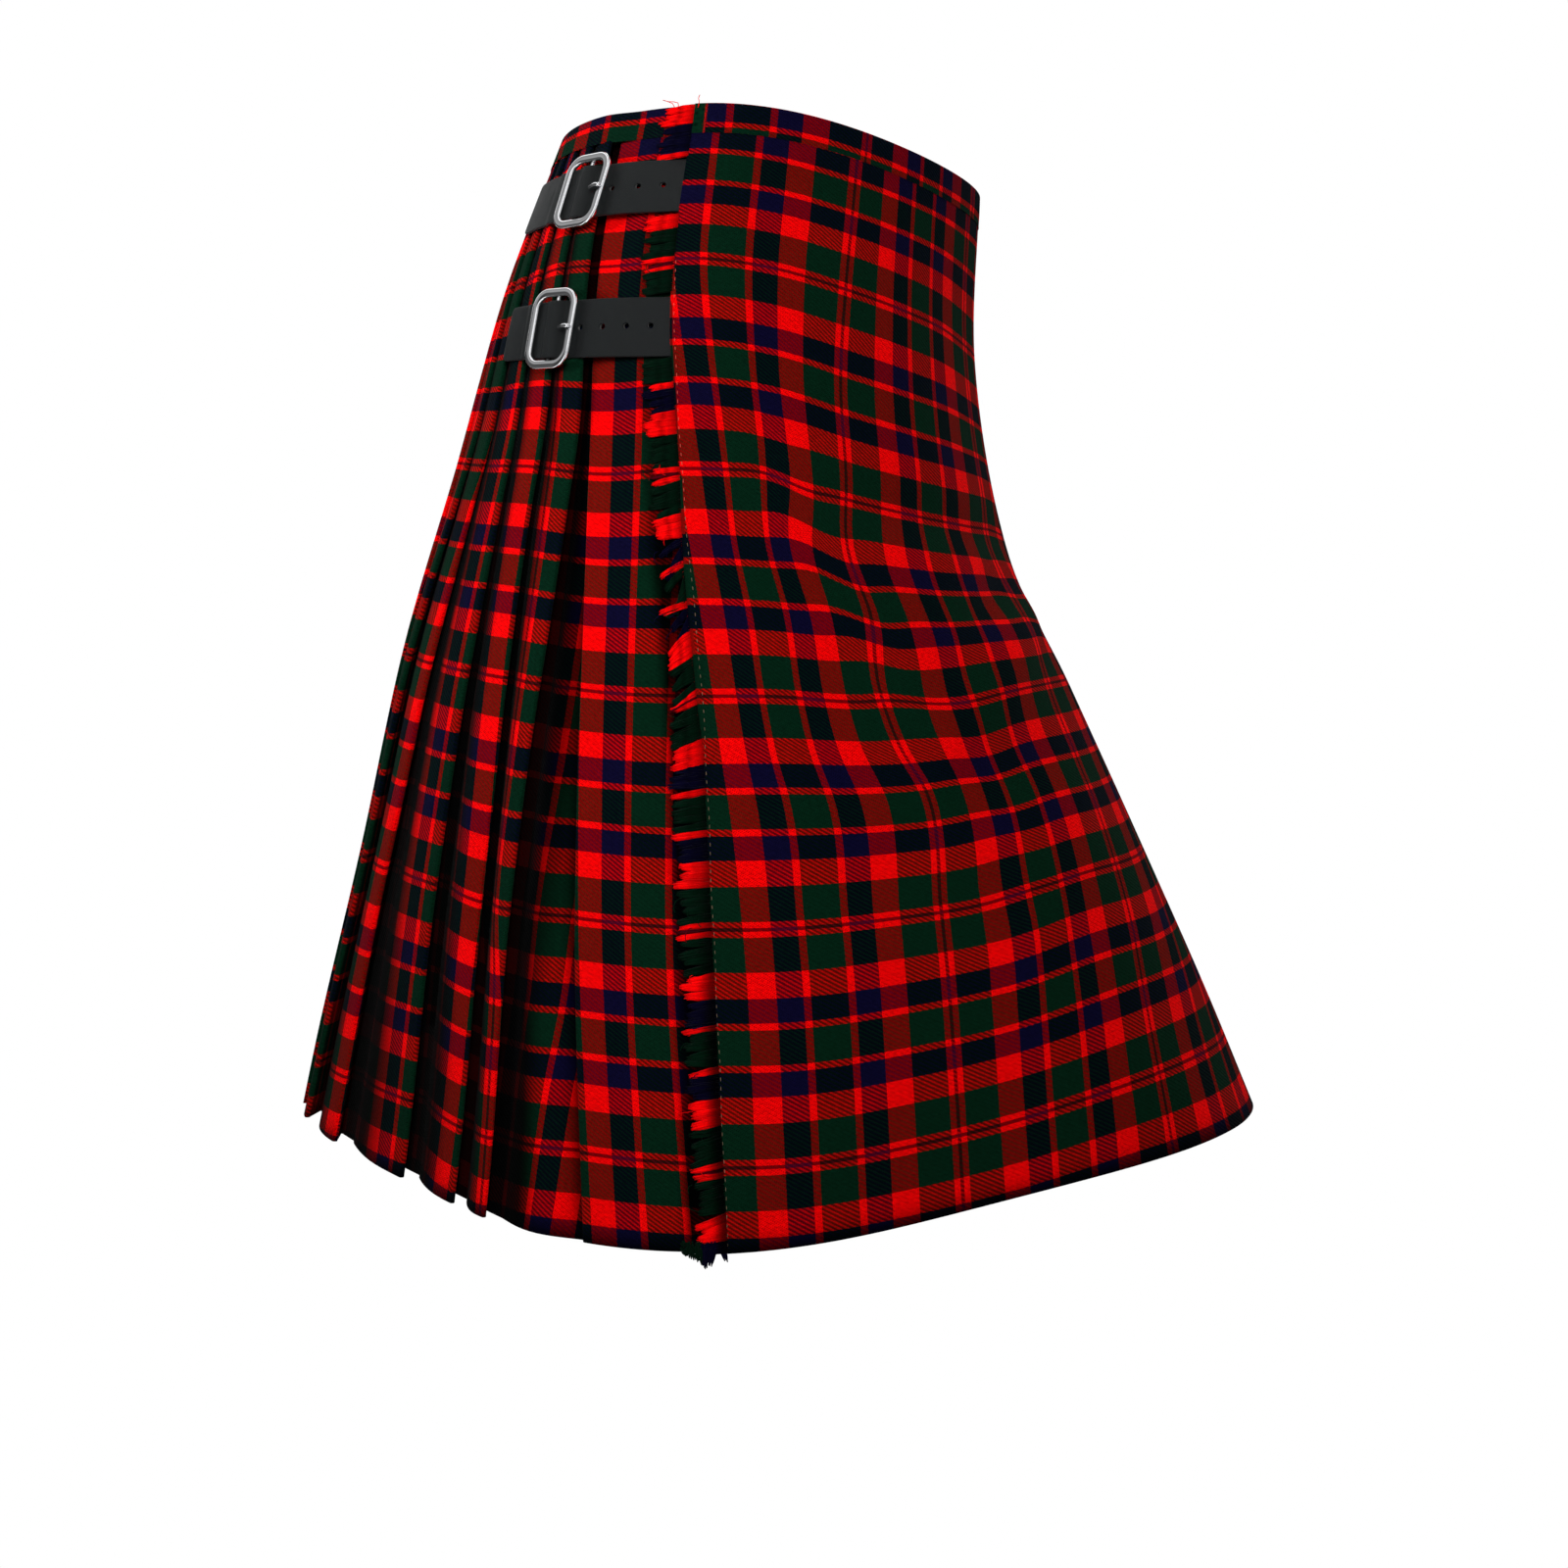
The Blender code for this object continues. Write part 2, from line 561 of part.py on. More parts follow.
def swept_tube(path, sides_at, closed):
    """Points and faces of a tube: sides_at gives the ring of points round each path point."""
    vertices, faces = [], []
    rings = [sides_at(k) for k in range(len(path))]
    sides = len(rings[0])
    for ring in rings:
        vertices += ring
    for k in range(len(path) if closed else len(path) - 1):
        a, b = k * sides, ((k + 1) % len(path)) * sides
        for i in range(sides):
            j = (i + 1) % sides
            faces.append((a + i, a + j, b + j, b + i))
    if not closed:
        faces.append(tuple(range(sides)))
        faces.append(tuple((len(path) - 1) * sides + i for i in range(sides)))
    return vertices, faces


def buckle_outline():
    """Middle line of the frame, a rounded rectangle, with the direction that points out of it."""
    path = []
    for corner, (sign_x, sign_y) in enumerate(((1, 1), (-1, 1), (-1, -1), (1, -1))):
        centre_x = sign_x * (FRAME_HALF_WIDTH - FRAME_CORNER)
        centre_y = sign_y * (FRAME_HALF_HEIGHT - FRAME_CORNER)
        for step in range(4):
            turn = math.radians(90 * corner + 30 * step)
            out = (math.cos(turn), math.sin(turn))
            path.append(((centre_x + FRAME_CORNER * out[0], centre_y + FRAME_CORNER * out[1]), out))
    return path


def build_buckle(name, down, arc, towards_strap):
    """A centre-bar frame and its tongue. towards_strap is the way along the arc that the tongue points."""
    bar_height = 2 * LEATHER_GAP + CHAPE_THICKNESS + BAR_RADIUS
    place, along, up, out = local_frame(down, arc, -bar_height)
    outline = buckle_outline()

    def frame_ring(k):
        (x, y), (out_x, out_y) = outline[k]
        ring = []
        for aside, high in FRAME_PROFILE:
            ring.append(place + along * (x + out_x * aside) + up * (y + out_y * aside)
                        + out * (FRAME_LIFT + high))
        return [tuple(point) for point in ring]

    vertices, faces = swept_tube(outline, frame_ring, True)
    frame = add_object(name + "_frame", vertices, faces, "chrome")

    def bar_ring(k):
        y = (-1, 1)[k] * FRAME_HALF_HEIGHT
        ring = []
        for side in range(BAR_SIDES):
            turn = 2 * math.pi * side / BAR_SIDES
            ring.append(place + up * y + along * (BAR_RADIUS * math.cos(turn))
                        + out * (BAR_RADIUS * math.sin(turn)))
        return [tuple(point) for point in ring]

    vertices, faces = swept_tube((0, 1), bar_ring, False)
    bar = add_object(name + "_bar_tool", vertices, faces, "chrome")
    bar.hide_render = True
    bar.display_type = "WIRE"
    join = frame.modifiers.new("centre bar", "BOOLEAN")
    join.operation = "UNION"
    join.solver = "EXACT"
    join.object = bar

    def tongue_ring(k):
        x, high = TONGUE_PATH[k]
        before = TONGUE_PATH[max(k - 1, 0)]
        after = TONGUE_PATH[min(k + 1, len(TONGUE_PATH) - 1)]
        run = along * (-(after[0] - before[0]) * towards_strap) + out * (after[1] - before[1])
        run.normalize()
        rise = run.cross(up).normalized()
        centre = place + along * (-x * towards_strap) + out * high
        slim = TONGUE_TIP if k == len(TONGUE_PATH) - 1 else 1.0
        ring = []
        for side in range(TONGUE_SIDES):
            turn = 2 * math.pi * side / TONGUE_SIDES
            ring.append(centre + (up * math.cos(turn) + rise * math.sin(turn)) * TONGUE_RADIUS * slim)
        return [tuple(point) for point in ring]

    vertices, faces = swept_tube(TONGUE_PATH, tongue_ring, False)
    add_object(name + "_tongue", vertices, faces, "chrome")


def build_right_straps():
    for name, down, buckle_angle, end_angle, chape_reach in STRAPS:
        ring = Ring(down)
        over_edge = smooth_row(APRONS, down)[0]
        reverse = ring.arc(smooth_row(PLEATS, down)[0])
        edge, bar, end = ring.arc(over_edge), ring.arc(buckle_angle), ring.arc(end_angle)
        tucked = CLOTH + TUCK_GAP + STRAP_THICKNESS
        ramp_start, ramp_end = edge + RAMP_START, reverse - RAMP_END
        stations = [(edge - STRAP_TUCK, tucked), (ramp_start, tucked)]
        for t in RAMP_SHARES:
            rise = (LEATHER_GAP + tucked) * t * t * (3 - 2 * t)
            stations.append((ramp_start + t * (ramp_end - ramp_start), tucked - rise))
        stations += [(bar + past, strap_inset(past, chape_reach)) for past in BAR_STATIONS
                     if ramp_end < bar + past < end]
        clear = chape_reach + CHAPE_CLEAR
        if end - bar > clear + CHAPE_STEP:
            stations.append((bar + clear, strap_inset(clear, chape_reach)))
            stations.append((bar + clear + CHAPE_STEP, -LEATHER_GAP))
        stations.append((end, strap_inset(end - bar, chape_reach)))
        strap_wall("strap_" + name, down, stations, STRAP_THICKNESS, STRAP_CLIP)
        chape = [(bar + past, -LEATHER_GAP) for past in CHAPE_STATIONS + (chape_reach,)]
        strap_wall("chape_" + name, down, chape, CHAPE_THICKNESS, CHAPE_CLIP)
        build_buckle("buckle_" + name, down, bar, -1.0)


def build_left_strap():
    """The under-apron's strap comes out from beneath the over-apron's left fold and runs back."""
    ring = Ring(LEFT_STRAP_DOWN)
    fold = apron_arcs(ring)[0]
    bar = fold - LEFT_STRAP_REACH
    clear = LEFT_CHAPE_REACH + CHAPE_CLEAR
    stations = [(fold - short, inset) for short, inset in LEFT_START]
    stations += [(bar - past, strap_inset(past, LEFT_CHAPE_REACH)) for past in BAR_STATIONS + (clear,)]
    stations += [(bar - clear - CHAPE_STEP, -LEATHER_GAP), (bar - LEFT_STRAP_END, -LEATHER_GAP)]
    strap_wall("strap_left", LEFT_STRAP_DOWN, stations, STRAP_THICKNESS, STRAP_CLIP, from_fold=True)
    chape = [(bar - past, -LEATHER_GAP) for past in CHAPE_STATIONS + (LEFT_CHAPE_REACH,)]
    strap_wall("chape_left", LEFT_STRAP_DOWN, chape, CHAPE_THICKNESS, CHAPE_CLIP)
    build_buckle("buckle_left", LEFT_STRAP_DOWN, bar, 1.0)


def main():
    clear_scene()
    build_cloth()
    build_waistband()
    above, below = STRAP_WIDTH / 2 + BARE_ABOVE, STRAP_WIDTH / 2 + BARE_BELOW
    bare = [(down - above, down + below) for _, down, *_ in STRAPS]
    build_fringe("apron_fringe", BAND_DEPTH + SEAM_GAP, HEM, bare, LOCK_LENGTH, FRINGE_SEED)
    build_fringe("waistband_fringe", 0.0, BAND_DEPTH, [], LOCK_LENGTH, FRINGE_SEED + 1)
    build_right_straps()
    build_left_strap()


main()
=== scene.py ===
import itertools
import math
import random

import bpy
import numpy as np
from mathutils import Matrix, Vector
from mathutils.geometry import delaunay_2d_cdt


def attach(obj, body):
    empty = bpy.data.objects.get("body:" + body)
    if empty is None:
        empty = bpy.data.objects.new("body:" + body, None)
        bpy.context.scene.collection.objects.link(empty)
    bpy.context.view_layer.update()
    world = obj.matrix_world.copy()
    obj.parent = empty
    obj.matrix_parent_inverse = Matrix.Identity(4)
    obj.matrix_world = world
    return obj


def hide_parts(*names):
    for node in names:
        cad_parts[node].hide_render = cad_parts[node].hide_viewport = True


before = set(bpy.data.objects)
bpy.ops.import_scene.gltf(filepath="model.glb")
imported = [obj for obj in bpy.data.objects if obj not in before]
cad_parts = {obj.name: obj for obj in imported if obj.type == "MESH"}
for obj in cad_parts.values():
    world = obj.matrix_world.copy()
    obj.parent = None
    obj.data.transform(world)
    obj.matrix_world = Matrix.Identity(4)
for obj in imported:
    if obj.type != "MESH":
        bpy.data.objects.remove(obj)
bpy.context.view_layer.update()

mm = 0.001
rng = np.random.default_rng(23)

# the outer ring: distance down, eight radii from the front round by the right, then three heights
ringTable = np.array([
    (0.0, 136, 132, 126, 110, 99, 113, 128, 124, -14, 16, 14),
    (96.5, 134, 144, 155, 143, 130, 138, 146, 133, -105, -69, -67),
    (207.7, 153, 161, 173, 167, 160, 163, 163, 149, -211, -176, -160),
    (319.0, 189, 189, 189, 187, 194, 184, 180, 171, -288, -288, -264),
    (430.2, 231, 216, 209, 201, 223, 202, 199, 193, -379, -402, -380),
    (541.4, 277, 236, 231, 216, 253, 217, 220, 214, -482, -517, -496),
    (580.2, 294, 241, 239, 222, 262, 223, 228, 221, -523, -557, -535),
])
# down, degrees of the fringed edge, width from there to the left fold
apronTable = np.array([
    (0.0, 90.7, 426), (96.5, 92.2, 432), (207.7, 89.7, 452),
    (319.0, 85.8, 470), (430.2, 83.7, 482), (580.2, 81.5, 488),
])
# down, degrees of the reverse fold and of five knife folds, underlay, step, turn back
pleatTable = np.array([
    (0.0, 111.5, 113.4, 120.4, 127.5, 134.8, 142.2, 5.0, 3.8, 9),
    (100.0, 109.8, 111.4, 118.8, 126.6, 134.6, 142.4, 6.0, 3.8, 10),
    (185.0, 108.1, 109.8, 117.9, 126.3, 135.4, 144.0, 7.5, 3.8, 12),
    (230.0, 107.5, 111.0, 119.3, 127.8, 138.2, 148.0, 8.5, 4.8, 14),
    (369.0, 106.2, 115.6, 122.2, 133.0, 147.0, 159.0, 12.0, 8.5, 19),
    (430.0, 105.1, 116.8, 123.1, 134.8, 150.5, 162.0, 13.0, 9.5, 21),
    (580.2, 100.0, 115.9, 122.8, 135.2, 152.9, 164.8, 15.0, 11.0, 25),
])
ringDegrees = np.arange(-110.0, 471.0, 0.5)

cloth = {
    "thickness": 1.0,        # all sizes in millimetres
    "hem": 580.2,            # how far down the cloth ends
    "centreY": 18.5,         # of the ring, behind the origin
    "layer": 1.9,            # from one folded layer to the next
    "outer": 0.6,            # depth of the middle of the outermost layer
    "under": 5.8,            # and of the under-apron
    "seam": 0.3,             # gap between one piece of cloth and the next
    "fell": 185.0,           # how far down the pleats are sewn
    "pleats": 20,
    "rightPleats": 10,       # how many of them are in the right piece
    "named": 5,              # how many have their folds in the table above
    "pleatSeed": 11,
    "uneven": 0.10,          # how much the other pleats differ at the hem
    "widening": 0.5,         # and how much wider they get towards the left fold
    "bendPoints": 7,
    "hiddenPoints": 6,
    "firstRow": 17.75,       # top row of points, behind the waistband's lip
    "secondRow": 20.5,
    "rows": 150,
    "quickRows": 60,
}

# down and degrees of each end, half width and height
creases = [
    (200, 0, 216, 64, 16, -3.5),
    (246, 2, 308, 60, 18, 3.0),
    (205, -4, 236, -62, 16, -3.0),
    (262, -6, 322, -58, 18, 2.5),
]
# softer folds of the same kind
drags = [
    (192, 80, 296, 53, 15, 2.0),
    (300, 54, 420, 45, 20, 1.5),
    (212, 14, 306, 46, 13, -2.4),
    (250, 4, 352, 52, 15, 2.6),
    (318, 14, 408, 60, 18, -1.8),
    (372, 18, 480, 46, 22, 1.8),
    (410, 68, 560, 70, 24, 1.6),
    (440, 40, 575, 30, 26, 2.0),
    (470, 20, 580, 12, 24, -1.6),
    (190, -70, 300, -50, 16, 2.0),
    (220, -12, 320, -44, 14, -2.2),
    (330, -20, 430, -62, 18, 2.0),
    (420, -38, 575, -44, 26, 2.0),
    (450, -64, 580, -74, 24, -1.6),
]
# where the checks step along such a line: its ends as above, half width, and the slip along it
shears = [
    (176, 79, 340, 49, 11, 3.1),
    (300, 50, 440, 34, 14, 1.5),
    (214, 30, 300, 4, 11, 1.6),
    (190, -74, 330, -50, 13, -2.2),
    (222, -30, 320, -6, 12, -1.5),
]
degreeWidth = 3.0            # millimetres that a degree stands for in these three lists


def knotCurve(t, span, here, slope, there, nextSlope):
    # a cubic from one knot to the next
    start = (2 * t ** 3 - 3 * t ** 2 + 1) * here + (t ** 3 - 2 * t ** 2 + t) * span * slope
    stop = (3 * t ** 2 - 2 * t ** 3) * there + (t ** 3 - t ** 2) * span * nextSlope
    return start + stop


def smoothRow(table, down):
    knots = table[:, 0]
    slopes = np.gradient(table[:, 1:], knots, axis=0)
    row = int(np.clip(np.searchsorted(knots, down) - 1, 0, len(knots) - 2))
    span = knots[row + 1] - knots[row]
    t = (down - knots[row]) / span
    return knotCurve(t, span, table[row, 1:], slopes[row], table[row + 1, 1:], slopes[row + 1])


def halfTurns(degrees):
    # the same directions from -180 to 180
    return (np.asarray(degrees, float) + 180.0) % 360.0 - 180.0


def besideLine(ends, down, degrees):
    # how far along a slanting line each place is, how far to its side, and which way the line runs
    downA, angleA, downB, angleB = ends
    along = np.array([downB - downA, (angleB - angleA) * degreeWidth])
    length = float(np.hypot(*along))
    offD, offA = down - downA, (degrees - angleA) * degreeWidth
    t = np.clip((offD * along[0] + offA * along[1]) / length ** 2, 0.0, 1.0)
    return t, (offD * along[1] - offA * along[0]) / length, along / length


def foldHeight(down, degrees):
    degrees = halfTurns(degrees)
    height = np.zeros_like(degrees)
    for *ends, half, lift in creases + drags:
        t, across, _ = besideLine(ends, down, degrees)
        height += lift * np.sin(math.pi * t) ** 0.7 * np.exp(-(across / half) ** 2)
    return height


def shearAt(down, degrees):
    # the shift of v and of u at each place
    degrees = halfTurns(degrees)
    total = np.zeros((2, len(degrees)))
    for *ends, half, slip in shears:
        t, across, way = besideLine(ends, down, degrees)
        across = across / half
        amount = slip * np.sin(math.pi * t) ** 0.8 * across * np.exp(0.5 - 0.5 * across ** 2)
        total += np.array([-way[0], way[1]])[:, None] * amount
    return total


class Level:
    # the outer ring at one distance down the cloth
    def __init__(self, down):
        row = smoothRow(ringTable, down)
        self.down = down
        self.radii = row[:8]
        self.zFront, self.zSide, self.zBack = row[8:]
        radius = self.radius(ringDegrees)
        turn = np.radians(ringDegrees)
        steps = np.hypot(np.diff(radius * np.sin(turn)), np.diff(radius * np.cos(turn)))
        self.arcs = np.concatenate([[0.0], np.cumsum(steps)])
        self.arcs -= np.interp(0.0, ringDegrees, self.arcs)

    def radius(self, degrees):
        total = 0.0
        for k, value in enumerate(self.radii):
            x = np.radians(np.asarray(degrees, float) - k * 45.0)
            x = (x + math.pi) % (2 * math.pi) - math.pi
            x = np.where(np.abs(x) < 1e-6, 1e-6, x)
            total = total + value * np.sin(4 * x) / (8 * np.tan(x / 2))
        return total

    def arc(self, degrees):
        return np.interp(degrees, ringDegrees, self.arcs)

    def angle(self, arc):
        return np.interp(arc, self.arcs, ringDegrees)

    def place(self, arc, inset, lift=0.0, drop=0.0):
        degrees = self.angle(arc)
        turn = np.radians(degrees)
        radius = self.radius(degrees) - inset + lift
        end = np.where(np.cos(turn) > 0, self.zFront, self.zBack)
        z = self.zSide * np.sin(turn) ** 2 + end * np.cos(turn) ** 2 - drop
        return np.stack([-radius * np.sin(turn), cloth["centreY"] - radius * np.cos(turn), z], axis=-1)


def apronArcs(level):
    # the left fold and the fringed edge
    overEdge, width = smoothRow(apronTable, level.down)
    edge = float(level.arc(360.0 + overEdge))
    return edge - width, edge


def looseness(down):
    # 0 where the pleats are sewn down, 1 at the hem
    return max(0.0, down - cloth["fell"]) / (cloth["hem"] - cloth["fell"])


def foldArcs(level, pleats):
    named = [float(level.arc(a)) for a in pleats[1:1 + cloth["named"]]]
    first, last = named[-1], apronArcs(level)[0]
    count = cloth["pleats"] + 1 - cloth["named"]
    loose = looseness(level.down)
    draw = random.Random(cloth["pleatSeed"])
    widths = np.array([1.0 + loose * (cloth["uneven"] * draw.uniform(-1, 1)
                                      + cloth["widening"] * ((k + 0.5) / count - 0.5)) for k in range(count)])
    steps = np.cumsum(widths) / widths.sum()
    return named + [first + (last - first) * s for s in steps]


def offsetLine(points, distance):
    # the line moved sideways, with its corners mitred
    points = np.asarray(points, float)
    along = np.diff(points, axis=0)
    along /= np.maximum(np.linalg.norm(along, axis=1), 1e-9)[:, None]
    sides = np.stack([along[:, 1], -along[:, 0]], axis=1)
    first = np.vstack([sides[:1], sides])
    last = np.vstack([sides, sides[-1:]])
    mitre = first + last
    mitre /= np.maximum(1.0 + np.sum(first * last, axis=1), 0.6)[:, None]
    for end in (0, -1):
        mitre[end] -= along[end] * mitre[end, 0] / along[end, 0]
    return points + mitre * distance


def bend(arc, inset, direction, count=cloth["bendPoints"]):
    # a half circle from one layer to the one beneath it, with its tip at arc
    half = cloth["layer"] / 2
    turn = np.linspace(-math.pi / 2, math.pi / 2, count)
    return [(arc - direction * half * (1.0 - math.cos(a)), inset + half + half * math.sin(a)) for a in turn]


def makeObject(name, points, faces, material, uv=None, sharp=40.0, scale=mm):
    mesh = bpy.data.meshes.new(name)
    mesh.from_pydata((np.asarray(points, float) * scale).tolist(), [], faces)
    if uv is not None:
        loops = np.zeros(len(mesh.loops), np.int32)
        mesh.loops.foreach_get("vertex_index", loops)
        layer = mesh.uv_layers.new(name="cloth")
        layer.data.foreach_set("uv", np.asarray(uv, np.float32)[loops].ravel())
    for item in (material if isinstance(material, (list, tuple)) else [material]):
        mesh.materials.append(item)
    mesh.shade_smooth()
    if sharp:
        mesh.set_sharp_from_angle(angle=math.radians(sharp))
    thing = bpy.data.objects.new(name, mesh)
    bpy.context.scene.collection.objects.link(thing)
    return thing


def fit(thing, node):
    # the piece moves with the body and takes the place of a CAD node
    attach(thing, "root")
    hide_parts(node)


def facesOut(points, faces):
    # turns every face round if the closed shape is inside out
    p = np.asarray(points, float)
    total = 0.0
    for size in (3, 4):
        some = np.array([f for f in faces if len(f) == size], int)
        if len(some):
            for a, b in ((1, 2), (2, 3))[:size - 2]:
                total += np.sum(p[some[:, 0]] * np.cross(p[some[:, a]], p[some[:, b]]))
    return faces if total > 0 else [tuple(reversed(f)) for f in faces]


def wallFaces(rows, count):
    # quads of a wall whose vertices run row by row, the face line first and then the back line
    face = np.arange(rows)[:, None] * 2 * count + np.arange(count)[None, :]
    back = face + count
    quads = [
        np.stack([face[:-1, :-1], face[:-1, 1:], face[1:, 1:], face[1:, :-1]], -1).reshape(-1, 4),
        np.stack([back[:-1, :-1], back[1:, :-1], back[1:, 1:], back[:-1, 1:]], -1).reshape(-1, 4),
        np.stack([face[0, :-1], back[0, :-1], back[0, 1:], face[0, 1:]], -1),
        np.stack([face[-1, :-1], face[-1, 1:], back[-1, 1:], back[-1, :-1]], -1),
        np.stack([face[:-1, 0], face[1:, 0], back[1:, 0], back[:-1, 0]], -1),
        np.stack([face[:-1, -1], back[:-1, -1], back[1:, -1], face[1:, -1]], -1),
    ]
    return np.vstack(quads)


def makeWall(name, sections, material):
    # sections: one (face points, back points, uv, painted shadow) for each level
    rows, count = len(sections), len(sections[0][0])
    points = np.concatenate([np.concatenate([face, back]) for face, back, *_ in sections])
    uv = np.concatenate([np.concatenate([flat, flat]) for _, _, flat, _ in sections])
    faces = facesOut(points, [tuple(q) for q in wallFaces(rows, count).tolist()])
    thing = makeObject(name, points, faces, material, uv)
    # painted shade on the face side, kept in the shadow attribute
    layer = thing.data.attributes.new("shadow", "FLOAT", "POINT")
    shadow = np.concatenate([np.concatenate([dark, 0.0 * dark]) for *_, dark in sections])
    layer.data.foreach_set("value", shadow.astype(np.float32))
    return thing


# where the checks fall, as u in millimetres across the stripes at each fold:
# down, reverse fold of the flat panel, the panel beyond it, then the first five knife folds
foldU = np.array([
    (0.0, 22.9, -86, 20, -18, -70, -106, -120),
    (185.0, 22.9, -82, 16, -20, -70, -104, -118),
    (215.0, 22.9, -79, 15, -21, -69, -103, -117),
    (294.0, 22.9, -71, 14, -21, -67, -96, -112),
    (350.0, 22.0, -64, 13, -22, -66, -93, -110),
    (428.0, 20.5, -50, 12, -23, -64.5, -91, -108),
    (470.0, 19.5, -43, 5, -22, -64.5, -90, -107),
    (515.0, 18.5, -31, 4, -21, -64, -89.5, -106),
    (580.2, 17.5, -16, 3, -18, -64, -89, -105),
])
# from one knife fold's u to the next, further round
pleatStep = (-37, -31, -38, -29, -35, -33, -40, -30, -36, -34, -28, -39, -32, -35, -31, -33)
# down, u at the fringed edge, then the degrees of the first repeat's middle and of the next one's
apronU = np.array([
    (0.0, 39.4, 51.5, 14.0), (50.0, 38.8, 55.3, 15.3), (96.5, 38.0, 58.6, 16.5),
    (146.0, 32.6, 61.0, 17.3), (207.7, 26.0, 61.1, 18.0), (240.0, 22.6, 62.2, 18.4),
    (275.0, 20.2, 59.0, 18.7), (319.0, 17.0, 57.8, 19.0), (346.0, 15.0, 55.7, 19.0),
    (370.0, 13.2, 52.3, 19.1), (430.2, 8.9, 52.0, 19.3), (541.4, 8.3, 52.0, 23.3),
    (580.2, 8.5, 51.9, 24.0),
])
# down, and how far the cloth is still woven beyond the line of stitches
wovenDown = (0.0, 90.0, 135.0, 205.0, 260.0, 320.0, 345.0, 440.0, 580.0)
wovenReach = (0.4, 1.5, 3.0, 2.2, 4.6, 4.0, 2.2, 1.8, 1.2)
sett = 126.2                 # one repeat of the tartan

# down, then how far the rows slip every 15 degrees from the front to the right and back
slipTable = np.array([
    (0.0, 0.8, 0.6, 0.6, -0.3, -0.6, 0.2, 0.8, 0.3, 0.5, -0.8, -0.8, -0.8),
    (96.5, 2.3, 1.7, 1.8, -0.7, -1.8, 0.4, 2.4, 0.7, 1.5, -2.7, -2.7, -2.7),
    (207.7, 9.6, 9.0, 3.1, -2.5, -4.3, 0.9, 2.5, -0.5, 1.7, -0.1, -0.8, -0.8),
    (319.0, 5.5, 4.9, 1.9, -3.9, -3.5, 0.5, 0.6, 0.9, 1.9, 0.1, -1.8, -1.8),
    (430.2, 0.5, 0.8, 1.8, -3.0, -1.9, -0.8, 0.5, 1.0, -0.3, 0.9, -1.5, -2.8),
    (541.4, -0.7, 0.0, -0.1, -2.6, -2.0, -0.7, 2.0, 1.9, -1.1, 1.0, -2.4, -6.0),
    (580.2, -0.7, 0.0, -0.1, -2.6, -2.0, -0.7, 2.0, 1.9, -1.1, 1.0, -2.4, -7.0),
])
slipStep = 15.0
slipDegrees = np.arange(0.0, 166.0, slipStep)
slipMirror = {"share": 0.7, "blend": 25.0}       # the left side mirrors the right a little more weakly


def slipAt(down, degrees):
    turned = halfTurns(degrees)
    away = np.abs(turned)
    row = smoothRow(slipTable, down)
    slopes = np.gradient(row, slipDegrees)
    k = np.clip(np.searchsorted(slipDegrees, away) - 1, 0, len(row) - 2)
    t = np.clip((away - slipDegrees[k]) / slipStep, 0.0, 1.0)
    slip = knotCurve(t, slipStep, row[k], slopes[k], row[k + 1], slopes[k + 1])
    share, blend = slipMirror["share"], slipMirror["blend"]
    mirror = share + (1.0 - share) * (np.exp(-(away / blend) ** 2) + np.exp(-((180.0 - away) / blend) ** 2))
    return slip * np.where(turned < 0, mirror, 1.0)


hemDown, paintedHemShade = (571.0, 577.0, 580.2), (0.0, 0.55, 0.88)      # how dark the painted shade gets along the hem
# painted shade in the grooves between the pleats, darkest where the next fold hangs over a pleat
groove = {
    "down": (0.0, 380.0, 520.0),
    "from": (0.36, 0.36, 0.14),      # share of a pleat's width where its painted shade starts, at each down
    "full": (0.84, 0.84, 0.68),      # and where it is darkest
    "most": 0.975,
    "firstDown": (0.0, 190.0, 215.0, 330.0, 400.0, 480.0, 580.0),
    "firstFrom": (0.3, 0.3, -0.9, -0.9, -0.2, 0.36, 0.4),        # the same for the first panel
    "firstMost": 0.9,                # how dark the painted shade on that one is beside the reverse fold
    "firstWidth": 7.0,
}
knife = {
    "points": 15,            # across a pleat's face
    "short": 1.5,            # how far the face stops before the next fold
    "fall": 0.12,            # share of its step that a pleat has sunk by "middle" of its width
    "stepFall": 0.02,        # and more of it for each millimetre of a deeper step
    "middle": 0.55,
    "belly": 0.8,            # share of its width that swells
    "tuck": 1.0,
    "waveLength": 61.0,
}
panel = {
    "underPoints": 150,      # across the under-apron, the apron and the first panel
    "overPoints": 210,
    "points": 18,
    "underPast": 10.0,       # how far the under-apron runs on beneath the last pleat
    "stop": 0.12,            # share of the first panel's width that it stops short by
    "swell": 0.25,           # its rise for each millimetre that it is wider than "swellMost",
    "swellMost": 6.0,        # which is the most it rises by as well
    "turnU": 1.5,            # u that the reverse fold takes up
    "drift": 3.0,            # how far the checks wander on the pleats further round
    "driftLength": 140.0,
}


def paintedGrooveShade(share, down, begins):
    # how dark the painted shade on a pleat gets towards the fold of the next one
    full = np.interp(down, groove["down"], groove["full"])
    t = np.clip((np.asarray(share, float) - begins) / (full - begins), 0.0, 1.0)
    return groove["most"] * t * t * (3 - 2 * t)


